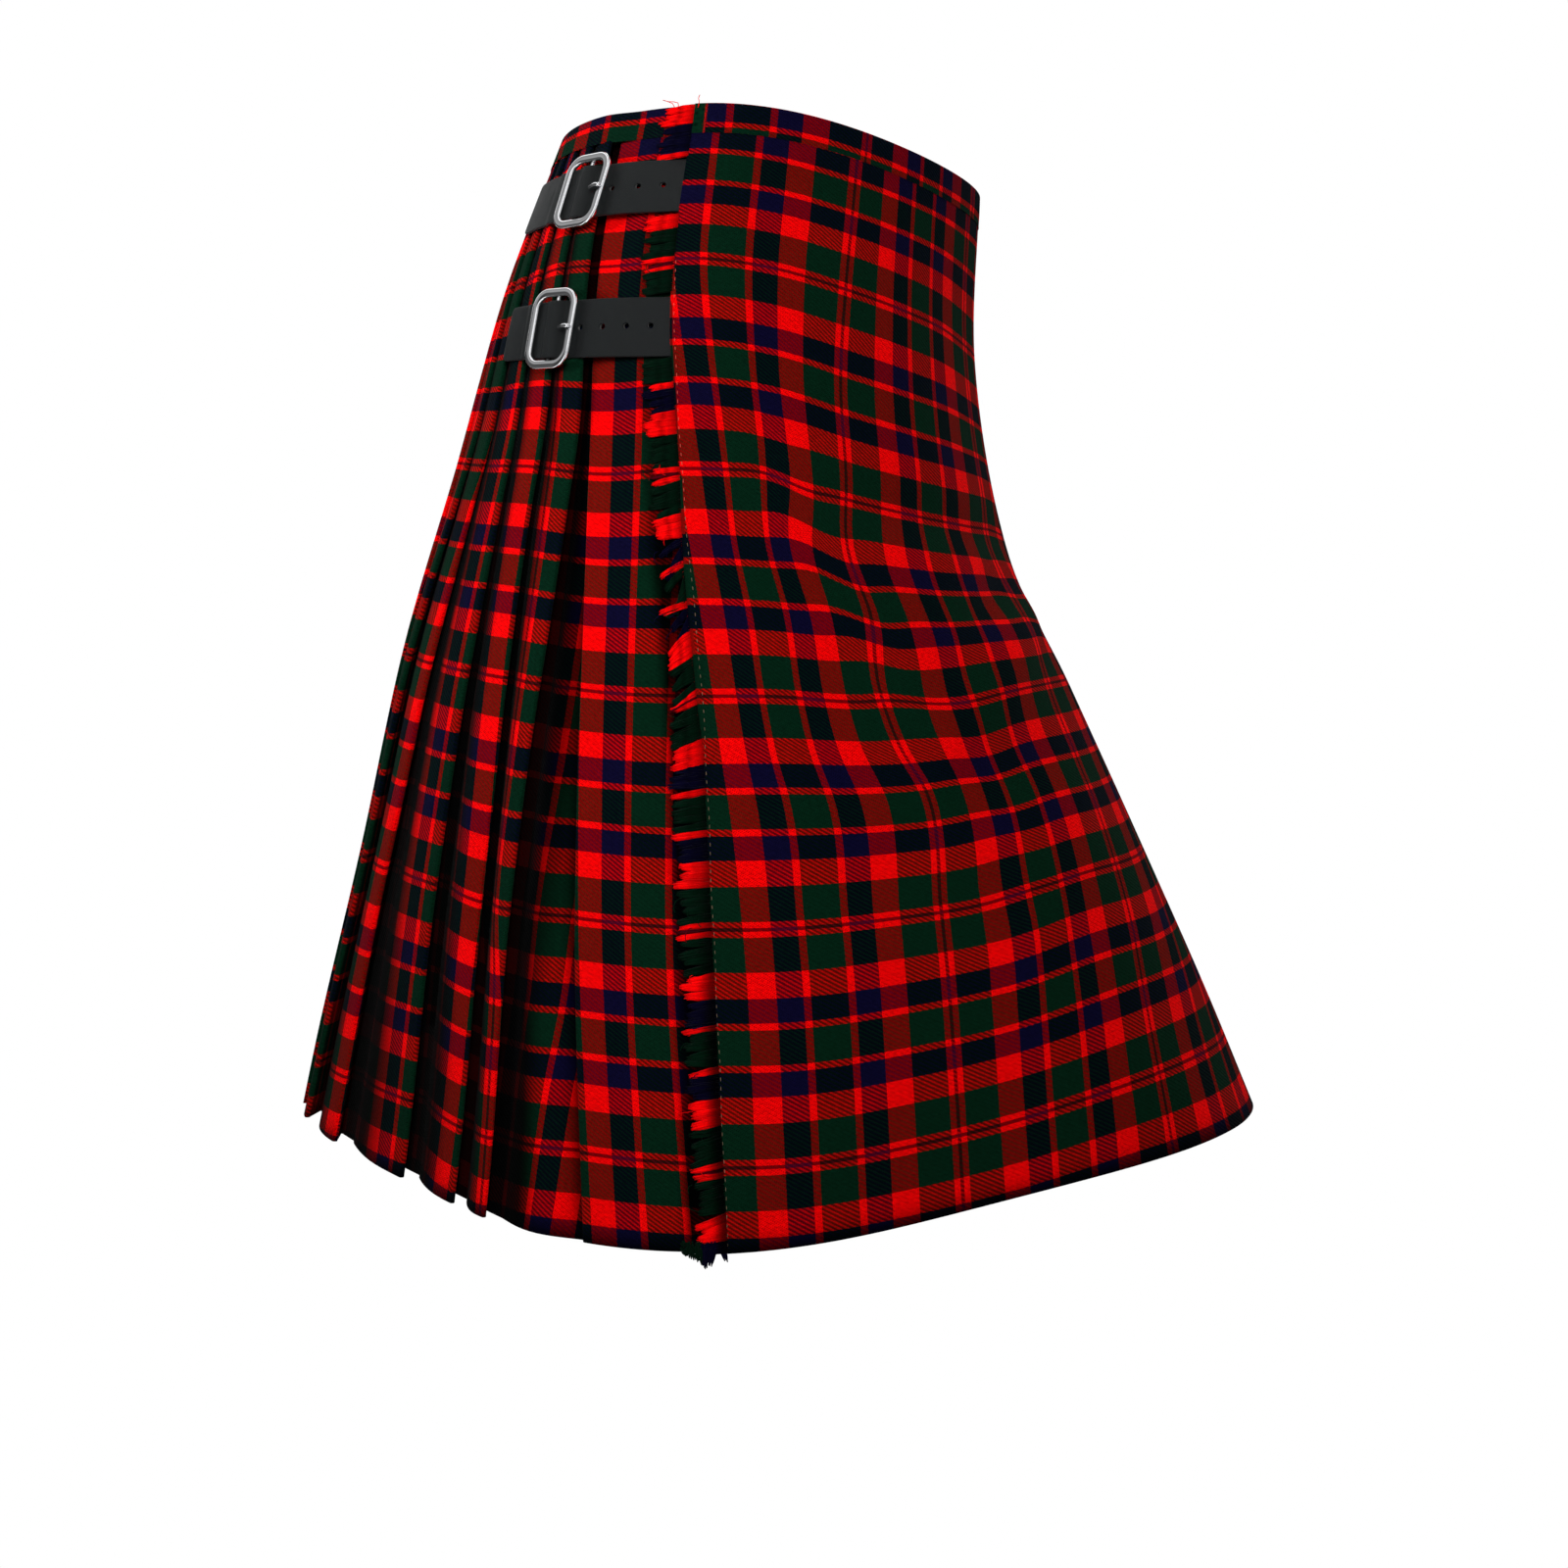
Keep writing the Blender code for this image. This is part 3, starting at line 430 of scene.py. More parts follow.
def knifePleat(fold, nextFold, underlay, step, wave, down):
    # the pleat's middle line, the index of its fold's tip, and its painted shade
    width = nextFold - fold
    fall = knife["fall"] + knife["stepFall"] * (step - 2 * cloth["layer"])
    power = math.log(fall) / math.log(knife["middle"])
    tail = cloth["outer"] + step
    line = bend(fold, cloth["outer"], -1)[::-1]
    lead = cloth["layer"] / 2
    for t in np.linspace(0.0, 1.0, knife["points"])[1:]:
        arc = fold + lead + t * (width - knife["short"] - lead)
        share = (arc - fold) / width
        belly = wave * math.sin(math.pi * min(share / knife["belly"], 1.0)) ** 2
        line.append((arc, cloth["outer"] + step * share ** power - belly))
    line[-1] = (nextFold - knife["short"], tail)
    end = nextFold + underlay
    line.append((end - lead - knife["tuck"], tail))
    line += bend(end, tail - cloth["layer"], 1, cloth["hiddenPoints"])[::-1]
    begins = np.interp(down, groove["down"], groove["from"])
    return line, cloth["bendPoints"] // 2, paintedGrooveShade([(arc - fold) / width for arc, _ in line], down, begins)


def spread(line, anchors):
    # u along a line, from (first index, index, u there), even along the cloth up to the next first index
    points = np.asarray(line, float)
    run = np.concatenate([[0.0], np.cumsum(np.linalg.norm(np.diff(points, axis=0), axis=1))])
    u = np.zeros(len(line))
    ends = [a[0] for a in anchors[1:]] + [len(line)]
    for (first, at, value), end in zip(anchors, ends):
        u[first:end] = value - (run[first:end] - run[at])
    return u


def pleatWave(k, down):
    # how much a pleat swells there, no two alike
    swing = 0.5 + 0.5 * math.sin(down / knife["waveLength"] + 2.1 * k)
    return looseness(down) * swing * (0.7 + 0.5 * math.sin(1.7 * k))


def seamEnds(a, b):
    # where two pieces end that meet between a and b
    a, b = np.array(a), np.array(b)
    along = (b - a) / abs(b[0] - a[0]) * cloth["seam"] / 2
    return tuple((a + b) / 2 - along), tuple((a + b) / 2 + along)


def clothLines(level):
    # the middle line of each piece at one level, with u and the painted shade for each point
    down = level.down
    pleats = smoothRow(pleatTable, down)
    underlay, step, turnBack = pleats[1 + cloth["named"]:]
    step = max(step, 2 * cloth["layer"])
    folds = foldArcs(level, pleats)
    fullTurn = float(level.arc(360.0))
    overEdge = apronArcs(level)[1]
    underEdge = folds[-1] - fullTurn + underlay + panel["underPast"]
    layer, under, outer, seam = cloth["layer"], cloth["under"], cloth["outer"], cloth["seam"]
    reverseU, beyondU, *knifeU = smoothRow(foldU, down)
    for k in range(cloth["pleats"] - cloth["named"]):
        drift = panel["drift"] * math.sin(down / panel["driftLength"] + k) * looseness(down)
        knifeU.append(knifeU[-1] + pleatStep[k] + drift)

    reverse = float(level.arc(pleats[0]))
    lead = layer / 2
    run = np.linspace(underEdge, reverse - lead, panel["underPoints"])
    line = [(a, under) for a in run] + bend(reverse, under, 1)[1:]
    hidden = bend(reverse - turnBack, under + layer, -1, cloth["hiddenPoints"])
    middle = (line[-1][0] + hidden[0][0]) / 2
    line.append((middle + seam / 2, under + layer))
    turned = np.arange(1, len(line) - len(run) + 1)
    pastU = reverseU - panel["turnU"]
    underU = [reverseU + (reverse - a) for a in run]
    underU += list(np.interp(turned, [1, 3, len(turned)], [reverseU, pastU, pastU - turnBack / 2]))
    # painted shadow of the fringe on the under-apron beneath it, fading out past its tips
    past = np.array([arc for arc, _ in line]) - overEdge + fullTurn - fringe["reach"] + 0.5
    past = np.clip(past / fringe["shade"], 0.0, 1.0)
    dark = np.interp(down, fringe["shadeDown"], fringe["shadeDepth"]) * (1.0 - past ** 0.8)
    result = {"under_apron": (line, np.array(underU), dark)}

    width = folds[0] - reverse
    deep = under + 2 * layer
    rise = min(max(panel["swell"] * (width - panel["swellMost"]), 0.0), panel["swellMost"])
    line = [(middle - seam / 2, under + layer)] + hidden
    first = len(line)
    start = float(hidden[-1][0])
    for t in np.linspace(0.0, 1.0, panel["points"])[1:]:
        arc = start + t * (folds[0] - panel["stop"] * width - start)
        share = min(max((arc - reverse) / width, 0.0), 1.0)
        line.append((arc, deep - rise * math.sin(math.pi * share) ** 1.5))
    seen = next(i for i in range(first, len(line)) if line[i][0] >= reverse)
    line += bend(folds[0] + underlay, deep - layer, 1, cloth["hiddenPoints"])[::-1]
    anchors = [(0, 0, reverseU - turnBack), (first, seen, beyondU - (line[seen][0] - reverse))]
    begins = np.interp(down, groove["firstDown"], groove["firstFrom"])
    arcs = np.array([arc for arc, _ in line])
    # painted shade beside the reverse fold, where the first panel runs in under it
    beside = groove["firstMost"] * np.exp(-((arcs - reverse) / groove["firstWidth"]) ** 2)
    dark = list(np.maximum(paintedGrooveShade((arcs - reverse) / width, down, begins), beside))

    right, left = (line, anchors, dark), ([], [], [])
    for k in range(cloth["pleats"]):
        side = right if k < cloth["rightPleats"] else left
        pleat, tip, darkness = knifePleat(folds[k], folds[k + 1], underlay, step, pleatWave(k, down), down)
        base = len(side[0]) + (side is left)     # the left line starts with its seam's point, put in below
        side[0].extend(pleat)
        side[1].append((base, base + tip, knifeU[k]))
        side[2].extend(darkness)
    rightEnd, leftStart = seamEnds(right[0][-1], left[0][0])
    right[0].append(rightEnd)
    right[2].append(right[2][-1])
    overNose = bend(folds[-1], outer, -1)[::-1]
    leftEnd, overStart = seamEnds(left[0][-1], overNose[0])
    left = ([leftStart] + left[0] + [leftEnd], [(0,) + left[1][0][1:]] + left[1][1:], [0.0] + left[2] + [0.0])
    for key, (line, anchors, dark) in (("pleats_right", right), ("pleats_left", left)):
        result[key] = (line, spread(line, anchors), np.array(dark))

    woven = np.interp(down, wovenDown, wovenReach)
    run = np.linspace(folds[-1] + lead, overEdge + woven, panel["overPoints"])
    line = [overStart] + overNose + [(a, outer) for a in run[1:]]
    arcs = np.array([arc for arc, _ in line])
    result["over_apron"] = (line, apronStripe(level, arcs, overEdge), np.zeros(len(line)))
    return result


def apronStripe(level, arcs, edge):
    # u across the apron: even from one repeat's middle to the next, and red beyond the stitches
    edgeU, angleOne, angleTwo = smoothRow(apronU, level.down)
    one, two = float(level.arc(360.0 + angleOne)), float(level.arc(360.0 + angleTwo))
    known = [two - 500.0, two, one, edge, edge + 2.3, edge + 2.6, edge + 5.0]
    values = [2 * sett + 500.0, 2 * sett, sett, edgeU, edgeU - 2.3, 3.9, 1.5]
    return np.interp(arcs, known, values)


def placeSection(level, line, u, shadow, thickness, creased):
    face, back = offsetLine(line, thickness / 2), offsetLine(line, -thickness / 2)
    sections = []
    for points in (face, back):
        degrees = level.angle(points[:, 0])
        lift = foldHeight(level.down, degrees) if creased else 0.0
        sections.append(level.place(points[:, 0], points[:, 1], lift))
    degrees = level.angle(np.asarray(line)[:, 0])
    along, across = shearAt(level.down, degrees) if creased else (0.0, 0.0)
    flat = np.stack([u + across, level.down + slipAt(level.down, degrees) + along], axis=1)
    # the painted shade, with the painted shade along the hem added
    return sections[0], sections[1], flat, np.maximum(shadow, np.interp(level.down, hemDown, paintedHemShade))


finishes = {
    "red": (0.92, 0.0010, 0.0016),
    "green": (0.0015, 0.0170, 0.0074),
    "navy": (0.0034, 0.0028, 0.021),
    "wine": (0.13, 0.0012, 0.0075),
    "roughness": 0.9,
    "sheen": 0.012,
    "gloss": 0.0,
    "warpYarn": 0.90,        # width of a yarn
    "weftYarn": 0.55,
    "warpShows": 0.44,       # share of the twill's width where the warp is on top
    "least": 0.15,           # share of warp seen where the weft is on top, and where the warp is
    "largest": 0.80,
    "blend": 0.20,           # softness of the change from one to the other
    "warpDepth": 0.17,       # brightness of warp and of weft where they cross a yarn of another colour
    "weftDepth": 0.66,
    "valley": 0.34,          # painted shade: brightness where one rib of the twill meets the next
    "ribs": ((0.0, 0.0), (0.12, 1.0), (0.34, 1.0), (0.44, 0.45), (0.56, 1.0), (0.9, 1.0), (1.0, 0.0)),
    "wobble": 0.5,           # how far the stripes' edges wander
    "wobbleScale": 0.9,
    "tone": 0.62,            # brightness of the yarns, and what fine and broad clouds add to it
    "heather": 0.80,
    "broad": 0.14,
    "heatherScale": (0.45, 0.9),
    "bump": 0.00022,
}


def grey(value):
    return (value,) * 3


class Nodes:
    # short hands for building a shader tree
    def __init__(self, name):
        self.material = bpy.data.materials.new(name)
        self.material.use_nodes = True
        self.tree = self.material.node_tree
        self.shader = self.tree.nodes["Principled BSDF"]

    def add(self, kind, **settings):
        node = self.tree.nodes.new(kind)
        for key, value in settings.items():
            setattr(node, key, value)
        return node

    def put(self, value, socket):
        if isinstance(value, bpy.types.NodeSocket):
            self.tree.links.new(value, socket)
        else:
            socket.default_value = value

    def calc(self, operation, *values):
        node = self.add("ShaderNodeMath", operation=operation)
        for value, socket in zip(values, node.inputs):
            self.put(value, socket)
        return node.outputs[0]

    def plus(self, a, b):
        return self.calc("ADD", a, b)

    def minus(self, a, b):
        return self.calc("SUBTRACT", a, b)

    def times(self, a, b):
        return self.calc("MULTIPLY", a, b)

    def over(self, a, b):
        return self.calc("DIVIDE", a, b)

    def place(self):
        return self.add("ShaderNodeTexCoord").outputs["Object"]

    def attribute(self, name):
        return self.add("ShaderNodeAttribute", attribute_name=name).outputs["Fac"]

    def mix(self, share, a, b, blend="MIX"):
        node = self.add("ShaderNodeMix", data_type="RGBA", blend_type=blend)
        self.put(share, node.inputs["Factor"])
        for value, socket in ((a, node.inputs[6]), (b, node.inputs[7])):
            self.put(value if isinstance(value, bpy.types.NodeSocket) else (*value, 1.0), socket)
        return node.outputs[2]

    def tinted(self, colour, tone):
        return self.mix(1.0, colour, self.vector(tone, tone, tone), "MULTIPLY")

    def split(self, vector):
        node = self.add("ShaderNodeSeparateXYZ")
        self.put(vector, node.inputs[0])
        return node.outputs

    def ramp(self, value, stops, constant=False):
        node = self.add("ShaderNodeValToRGB")
        node.color_ramp.interpolation = "CONSTANT" if constant else "LINEAR"
        elements = node.color_ramp.elements
        while len(elements) < len(stops):
            elements.new(0.5)
        for element, (position, colour) in zip(elements, stops):
            element.position = position
            element.color = (*colour, 1.0)
        self.put(value, node.inputs[0])
        return node.outputs[0]

    def noise(self, vector, scale, detail=2.0, roughness=0.5):
        node = self.add("ShaderNodeTexNoise")
        self.put(vector, node.inputs["Vector"])
        node.inputs["Scale"].default_value = scale
        node.inputs["Detail"].default_value = detail
        node.inputs["Roughness"].default_value = roughness
        return node.outputs["Fac"]

    def vector(self, x, y, z=0.0):
        node = self.add("ShaderNodeCombineXYZ")
        for value, socket in zip((x, y, z), node.inputs):
            self.put(value, socket)
        return node.outputs[0]

    def bump(self, height, distance, strength):
        node = self.add("ShaderNodeBump")
        node.inputs["Distance"].default_value = distance
        node.inputs["Strength"].default_value = strength
        self.put(height, node.inputs["Height"])
        return node.outputs[0]

    def set(self, **values):
        for key, value in values.items():
            socket = self.shader.inputs[key.replace("_", " ")]
            if isinstance(value, tuple):
                value = (*value, 1.0)
            self.put(value, socket)


# half a repeat, from its middle out: where each stripe starts
stripeEnds = [(0.0, "wine"), (0.85, "red"), (4.05, "green"), (22.85, "red"),
              (36.85, "navy"), (49.85, "red"), (53.65, "green")]
stripeCodes = {"red": 0.0, "green": 0.5, "navy": 1.0, "wine": 1.0}      # to tell where colours differ
weftScale = 0.881            # the weft's repeat against the warp's
weftStart = 96.5             # how far down the middle of one is


def stripes(nodes, along, coded=False):
    place = nodes.over(nodes.calc("PINGPONG", along, sett / 2), sett / 2)
    stops = [(end / (sett / 2), grey(stripeCodes[c]) if coded else finishes[c]) for end, c in stripeEnds]
    return nodes.ramp(place, stops, True)


def tartanMaterial(name):
    nodes = Nodes(name)
    plus, minus, times, over = nodes.plus, nodes.minus, nodes.times, nodes.over
    uv = nodes.add("ShaderNodeUVMap", uv_map="cloth").outputs[0]
    u, v, _ = nodes.split(uv)
    wobble = times(minus(nodes.noise(uv, finishes["wobbleScale"]), 0.5), finishes["wobble"])
    weft = over(minus(plus(v, wobble), weftStart), weftScale)
    warp = plus(u, wobble)
    warpColour, weftColour = stripes(nodes, warp), stripes(nodes, weft)
    apart = minus(stripes(nodes, warp, True), stripes(nodes, weft, True))
    differs = nodes.calc("GREATER_THAN", nodes.calc("ABSOLUTE", apart), 0.1)

    # a twill over two and under two, as the share of warp seen
    warpYarn, weftYarn = finishes["warpYarn"], finishes["weftYarn"]
    half, blend, least = finishes["warpShows"] / 2, finishes["blend"], finishes["least"]
    row = nodes.calc("FLOOR", over(v, weftYarn))
    phase = nodes.calc("FRACT", over(minus(over(u, warpYarn), row), 4.0))
    away = nodes.calc("PINGPONG", minus(phase, half), 0.5)
    warpTop = over(minus(half + blend, away), 2 * blend)
    warpTop = nodes.calc("MINIMUM", nodes.calc("MAXIMUM", warpTop, 0.0), 1.0)
    warpTop = plus(least, times(warpTop, finishes["largest"] - least))
    colour = nodes.mix(warpTop, weftColour, warpColour)

    loss = plus(1.0 - finishes["weftDepth"], times(warpTop, finishes["weftDepth"] - finishes["warpDepth"]))
    depth = minus(1.0, times(differs, loss))
    acrossScale, downScale = finishes["heatherScale"]
    heather = nodes.noise(nodes.vector(times(u, acrossScale), times(v, downScale)), 1.0, 4.0, 0.75)
    heather = nodes.ramp(heather, [(0.30, grey(0.0)), (0.70, grey(1.0))])
    clouds = plus(times(heather, finishes["heather"]), times(nodes.noise(uv, 0.02, 3.0), finishes["broad"]))
    valley = finishes["valley"]
    # painted shade in the valleys between the twill's ribs
    ribs = nodes.ramp(phase, [(at, grey(valley + (1.0 - valley) * high)) for at, high in finishes["ribs"]])
    tone = times(times(depth, plus(finishes["tone"], clouds)), ribs)
    # darkened by the painted shade in the shadow attribute
    colour = nodes.tinted(colour, times(tone, minus(1.0, nodes.attribute("shadow"))))

    ridge = nodes.calc("ABSOLUTE", nodes.calc("SINE", times(v, math.pi / weftYarn)))
    cross = nodes.calc("ABSOLUTE", nodes.calc("SINE", times(u, math.pi / warpYarn)))
    slope = nodes.calc("SINE", times(phase, 2 * math.pi))
    height = plus(plus(times(plus(ridge, cross), 0.25), times(slope, 0.5)), times(heather, 0.5))
    nodes.set(Base_Color=colour, Roughness=finishes["roughness"], Specular_IOR_Level=finishes["gloss"],
              Sheen_Weight=finishes["sheen"], Sheen_Roughness=0.5,
              Normal=nodes.bump(height, finishes["bump"], 0.8))
    return nodes.material


def yarnMaterial(name):
    nodes = Nodes(name)
    weft = nodes.over(nodes.minus(nodes.attribute("clothV"), weftStart), weftScale)
    tone = nodes.plus(0.72, nodes.times(nodes.noise(nodes.place(), 1100.0), 0.5))
    # the tone attribute carries each yarn's painted shade along its length and its random brightness
    colour = nodes.tinted(stripes(nodes, weft), nodes.times(tone, nodes.attribute("tone")))
    nodes.set(Base_Color=colour, Roughness=0.95, Sheen_Weight=0.015, Specular_IOR_Level=0.0)
    return nodes.material


def threadMaterial(name, colour):
    nodes = Nodes(name)
    tone = nodes.noise(nodes.place(), 1500.0)
    nodes.set(Base_Color=nodes.mix(tone, tuple(c * 0.6 for c in colour), colour), Roughness=0.7)
    return nodes.material


def leatherMaterial(name, colour, roughness=0.55, grain=0.00012):
    nodes = Nodes(name)
    place = nodes.place()
    cells = nodes.add("ShaderNodeTexVoronoi", feature="DISTANCE_TO_EDGE")
    cells.inputs["Scale"].default_value = 1400.0
    nodes.put(place, cells.inputs["Vector"])
    pores = nodes.calc("MINIMUM", nodes.times(cells.outputs["Distance"], 6.0), 1.0)
    cloud = nodes.noise(place, 90.0, 4.0)
    light = tuple(min(1.0, c * 1.5) for c in colour)
    nodes.set(Base_Color=nodes.mix(cloud, colour, light), Specular_IOR_Level=0.24,
              Roughness=nodes.plus(roughness - 0.08, nodes.times(cloud, 0.18)),
              Normal=nodes.bump(nodes.plus(pores, nodes.noise(place, 420.0, 3.0)), grain, 0.6))
    return nodes.material


def chromeMaterial(name):
    nodes = Nodes(name)
    place = nodes.place()
    cloud = nodes.noise(place, 160.0, 3.0)
    nodes.set(Base_Color=nodes.mix(cloud, (0.84, 0.85, 0.87), (0.92, 0.93, 0.95)), Metallic=1.0,
              Roughness=nodes.plus(0.03, nodes.times(cloud, 0.05)),
              Normal=nodes.bump(nodes.noise(place, 900.0), 0.00001, 0.03))
    return nodes.material


tartan = tartanMaterial("tartan cloth")
fringeYarn = yarnMaterial("fringe yarn")
edgeThread = threadMaterial("edge thread", (0.20, 0.13, 0.08))
redThread = threadMaterial("red edge thread", (0.80, 0.09, 0.06))
leather = leatherMaterial("strap leather", (0.0056, 0.0065, 0.0068))
cutEdge = leatherMaterial("cut leather edge", (0.075, 0.075, 0.073), 0.7)
chrome = chromeMaterial("buckle chrome")


def makeCloth(rowCount):
    rows = [cloth["firstRow"], *np.linspace(cloth["secondRow"], cloth["hem"], rowCount - 1)]
    levels = [Level(float(d)) for d in rows]
    lines = [clothLines(level) for level in levels]
    made = {}
    for node in ("under_apron", "pleats_right", "pleats_left", "over_apron"):
        creased = node.endswith("apron")
        sections = [placeSection(level, *line[node], cloth["thickness"], creased)
                    for level, line in zip(levels, lines)]
        piece = makeWall("cloth_" + node, sections, tartan)
        fit(piece, node)
        made[node] = piece
        print("cloth", node, len(piece.data.polygons))
    return made


band = {
    "depth": 17.8,           # of the band, from the rim down
    "thickness": 1.8,
    "faceRows": (17.0, 13.0, 9.0, 5.0, 2.0),
    "points": 240,           # along the waist
    "overProud": 0.3,        # how far the apron's band stands out
    "overLedge": 2.6,        # how deep its ledge goes
    "proud": 0.5,            # how far the band round the back stands out
    "underInset": 4.8,       # how deep it lies on the under-apron
    "ramp": 12.0,            # degrees from the one to the other
    "ledgeDegrees": (-14.0, -3.0, 5.0, 12.0),        # from the reverse fold
    "ledgeDepth": (7.2, 10.4, 10.4, 6.6),
    "clear": 10.0,           # how far past the left fold it starts, beneath the apron
    "endGap": 0.06,          # between the two bands at the left fold
    "ledge": 1.1,            # thickness of the ledge at its foot, which covers the pleats' tops
    "lip": 0.7,              # how far its face hangs below the foot, over the seam
    "lipThickness": 0.24,
    "squash": 0.25,          # depth of the dent that the stitching leaves above the foot
    "squashDown": 15.5,
    "squashWidth": 1.6,
    "endGreen": 5.5,         # length of its frayed end, which is green
    "overV": 18.2,           # how far its rows are shifted from the cloth's
    "backV": 24.7,
    "overU": 6.0,            # and its columns
    "backU": 61.0,
    "inside": 5.0,           # depth taken for the ledge's inner edge when its rows are measured
}


def bandProfile():
    # down and depth from the face to the back, with a soft folded top and a ledge and a lip at the foot
    half = band["thickness"] / 2
    foot = band["depth"] + band["lip"]
    ledge, under = band["depth"] - band["ledge"], band["depth"] - 0.1
    profile = [(d, 0.0) for d in (foot, *band["faceRows"])]
    profile += [(half - half * math.sin(a), half - half * math.cos(a)) for a in np.linspace(0.0, math.pi, 9)]
    profile += [(d, 2 * half) for d in (*band["faceRows"][:0:-1], ledge)]
    profile += [(ledge, None), (under, None)]        # as deep as ledgeAt says
    return profile + [(d, band["lipThickness"]) for d in (under, foot)]


def makeBand(name, node, runAt, insetAt, ledgeAt, uAt, vShift):
    # rows round the profile, columns along the waist
    profile = bandProfile()
    levels = {d: Level(d) for d, _ in profile}
    count = band["points"]
    points, uv, travelled, before = [], [], 0.0, profile[0]
    for down, deep in profile:
        level = levels[down]
        arcs = runAt(level, count)
        inset = ledgeAt(level, arcs) if deep is None else insetAt(level, arcs) + deep
        squash = band["squash"] * math.exp(-((down - band["squashDown"]) / band["squashWidth"]) ** 2)
        points.append(level.place(arcs, inset + squash * (deep == 0.0)))
        here = (down, band["inside"] if deep is None else deep)
        travelled += math.hypot(here[0] - before[0], here[1] - before[1])
        before = here
        u = uAt(level, arcs)
        v = np.full(count, band["depth"] - travelled + vShift)
        if node == "waistband_over":
            frayed = arcs > apronArcs(level)[1] - band["endGreen"]
            u = np.where(frayed, 12.0 + 0.2 * (arcs - arcs[-1]), u)
            v = np.where(frayed, 107.0 + 0.3 * (v - vShift), v)
        uv.append(np.stack([u, v], axis=1))
    index = np.arange(len(profile))[:, None] * count + np.arange(count)[None, :]
    after = np.roll(index, -1, axis=0)
    quads = np.stack([index[:, :-1], index[:, 1:], after[:, 1:], after[:, :-1]], -1).reshape(-1, 4)
    faces = [tuple(q) for q in quads.tolist()]
    faces += [tuple(index[:, 0].tolist()), tuple(index[::-1, -1].tolist())]
    points, uv = np.concatenate(points), np.concatenate(uv)
    piece = makeObject(name, points, facesOut(points, faces), tartan, uv)
    fit(piece, node)


def reverseAngle(down):
    return smoothRow(pleatTable, down)[0]


def overRun(level, count):
    fold, edge = apronArcs(level)
    return np.linspace(fold - cloth["seam"] + band["endGap"], edge, count)


def overInset(level, arcs):
    return np.full(len(arcs), -band["overProud"])


def overLedge(level, arcs):
    return np.full(len(arcs), band["overLedge"])


def overU(level, arcs):
    return apronStripe(level, arcs, apronArcs(level)[1]) - band["overU"]


def backRun(level, count):
    fold, _ = apronArcs(level)
    return np.linspace(fold - float(level.arc(360.0)) + band["clear"], fold - cloth["seam"], count)


def backInset(level, arcs):
    t = np.clip((level.angle(arcs) - reverseAngle(level.down)) / band["ramp"] + 0.5, 0.0, 1.0)
    t = t * t * (3 - 2 * t)
    return band["underInset"] + (-band["proud"] - band["underInset"]) * t


def backLedge(level, arcs):
    # far enough in to cover the first panel and the pleats beneath
    return np.interp(level.angle(arcs) - reverseAngle(level.down), band["ledgeDegrees"], band["ledgeDepth"])


def backU(level, arcs):
    return band["backU"] + float(level.arc(reverseAngle(level.down))) - arcs


def makeBands():
    makeBand("waistband_front", "waistband_over", overRun, overInset, overLedge, overU, band["overV"])
    makeBand("waistband_round", "waistband_back", backRun, backInset, backLedge, backU, band["backV"])
    print("waistband made")


fringe = {
    "pitch": 0.74,           # between yarns in one layer
    "layers": 3,
    "layerDepth": 0.42,
    "points": 7,             # along a yarn
    "reach": 19.3,           # of the tips beyond the apron's line of stitches
    "lock": 5.5,             # longest stretch of one colour that hangs as one lock
    "sink": 3.0,             # how far the tips sink towards the cloth beneath
    "yarnRadius": 0.47,
    "sides": 5,
    "taper": (1.0, 1.0, 1.0, 1.0, 0.97, 0.9, 0.55),
    "shade": 5.5,            # width of its shadow on the under-apron
    "shadeDown": (0.0, 185.0, 260.0, 580.0),
    "shadeDepth": (0.35, 0.45, 0.92, 0.95),
    "dull": 0.55,            # how much darker than red its green and navy are
    # between what a lock draws: the droop it shares with its stripe and its own, then length, brightness,
    # how far its tip closes up, lifts and curls, and how it bows
    "shared": (0.7, 1.3),
    "own": (-0.3, 0.3),
    "length": (0.80, 1.08),
    "bright": (0.95, 1.2),
    "fan": (0.66, 1.04),
    "lift": (-0.5, 0.5),
    "curl": (-0.5, 0.7),
    "bow": (0.9, 1.5),
    # and each of its yarns
    "aside": (-0.2, 0.2),
    "yarnLength": (-0.10, 0.05),
    "wave": (0.05, 0.3),
    "yarnSize": (0.88, 1.12),
    "yarnBright": (0.8, 1.15),
    # how far the locks droop and how short they are, by distance down
    "droopDown": (0.0, 120.0, 200.0, 228.0, 245.0, 300.0, 325.0, 350.0, 440.0, 580.0),
    "droop": (0.6, 1.6, 2.2, 3.0, 8.0, 8.5, 5.5, 2.0, 2.2, 3.6),
    "shortDown": (430.0, 520.0, 566.0),
    "short": (1.0, 0.84, 0.84),
    # painted shade along a yarn, as brightness, darkest at its root beside the stitches: above the first of
    # these distances down and below the second
    "lowDown": (340.0, 470.0),
    "toneAlong": (0.0, 0.12, 0.28, 0.50, 0.64, 0.86, 1.0),
    "toneUpper": (0.30, 0.50, 0.95, 0.50, 0.90, 1.0, 0.70),
    "toneLower": (0.05, 0.08, 0.20, 0.85, 1.0, 1.0, 0.70),
    "strays": 46,            # loose single threads
    "thin": 0.42,            # their thickness
}


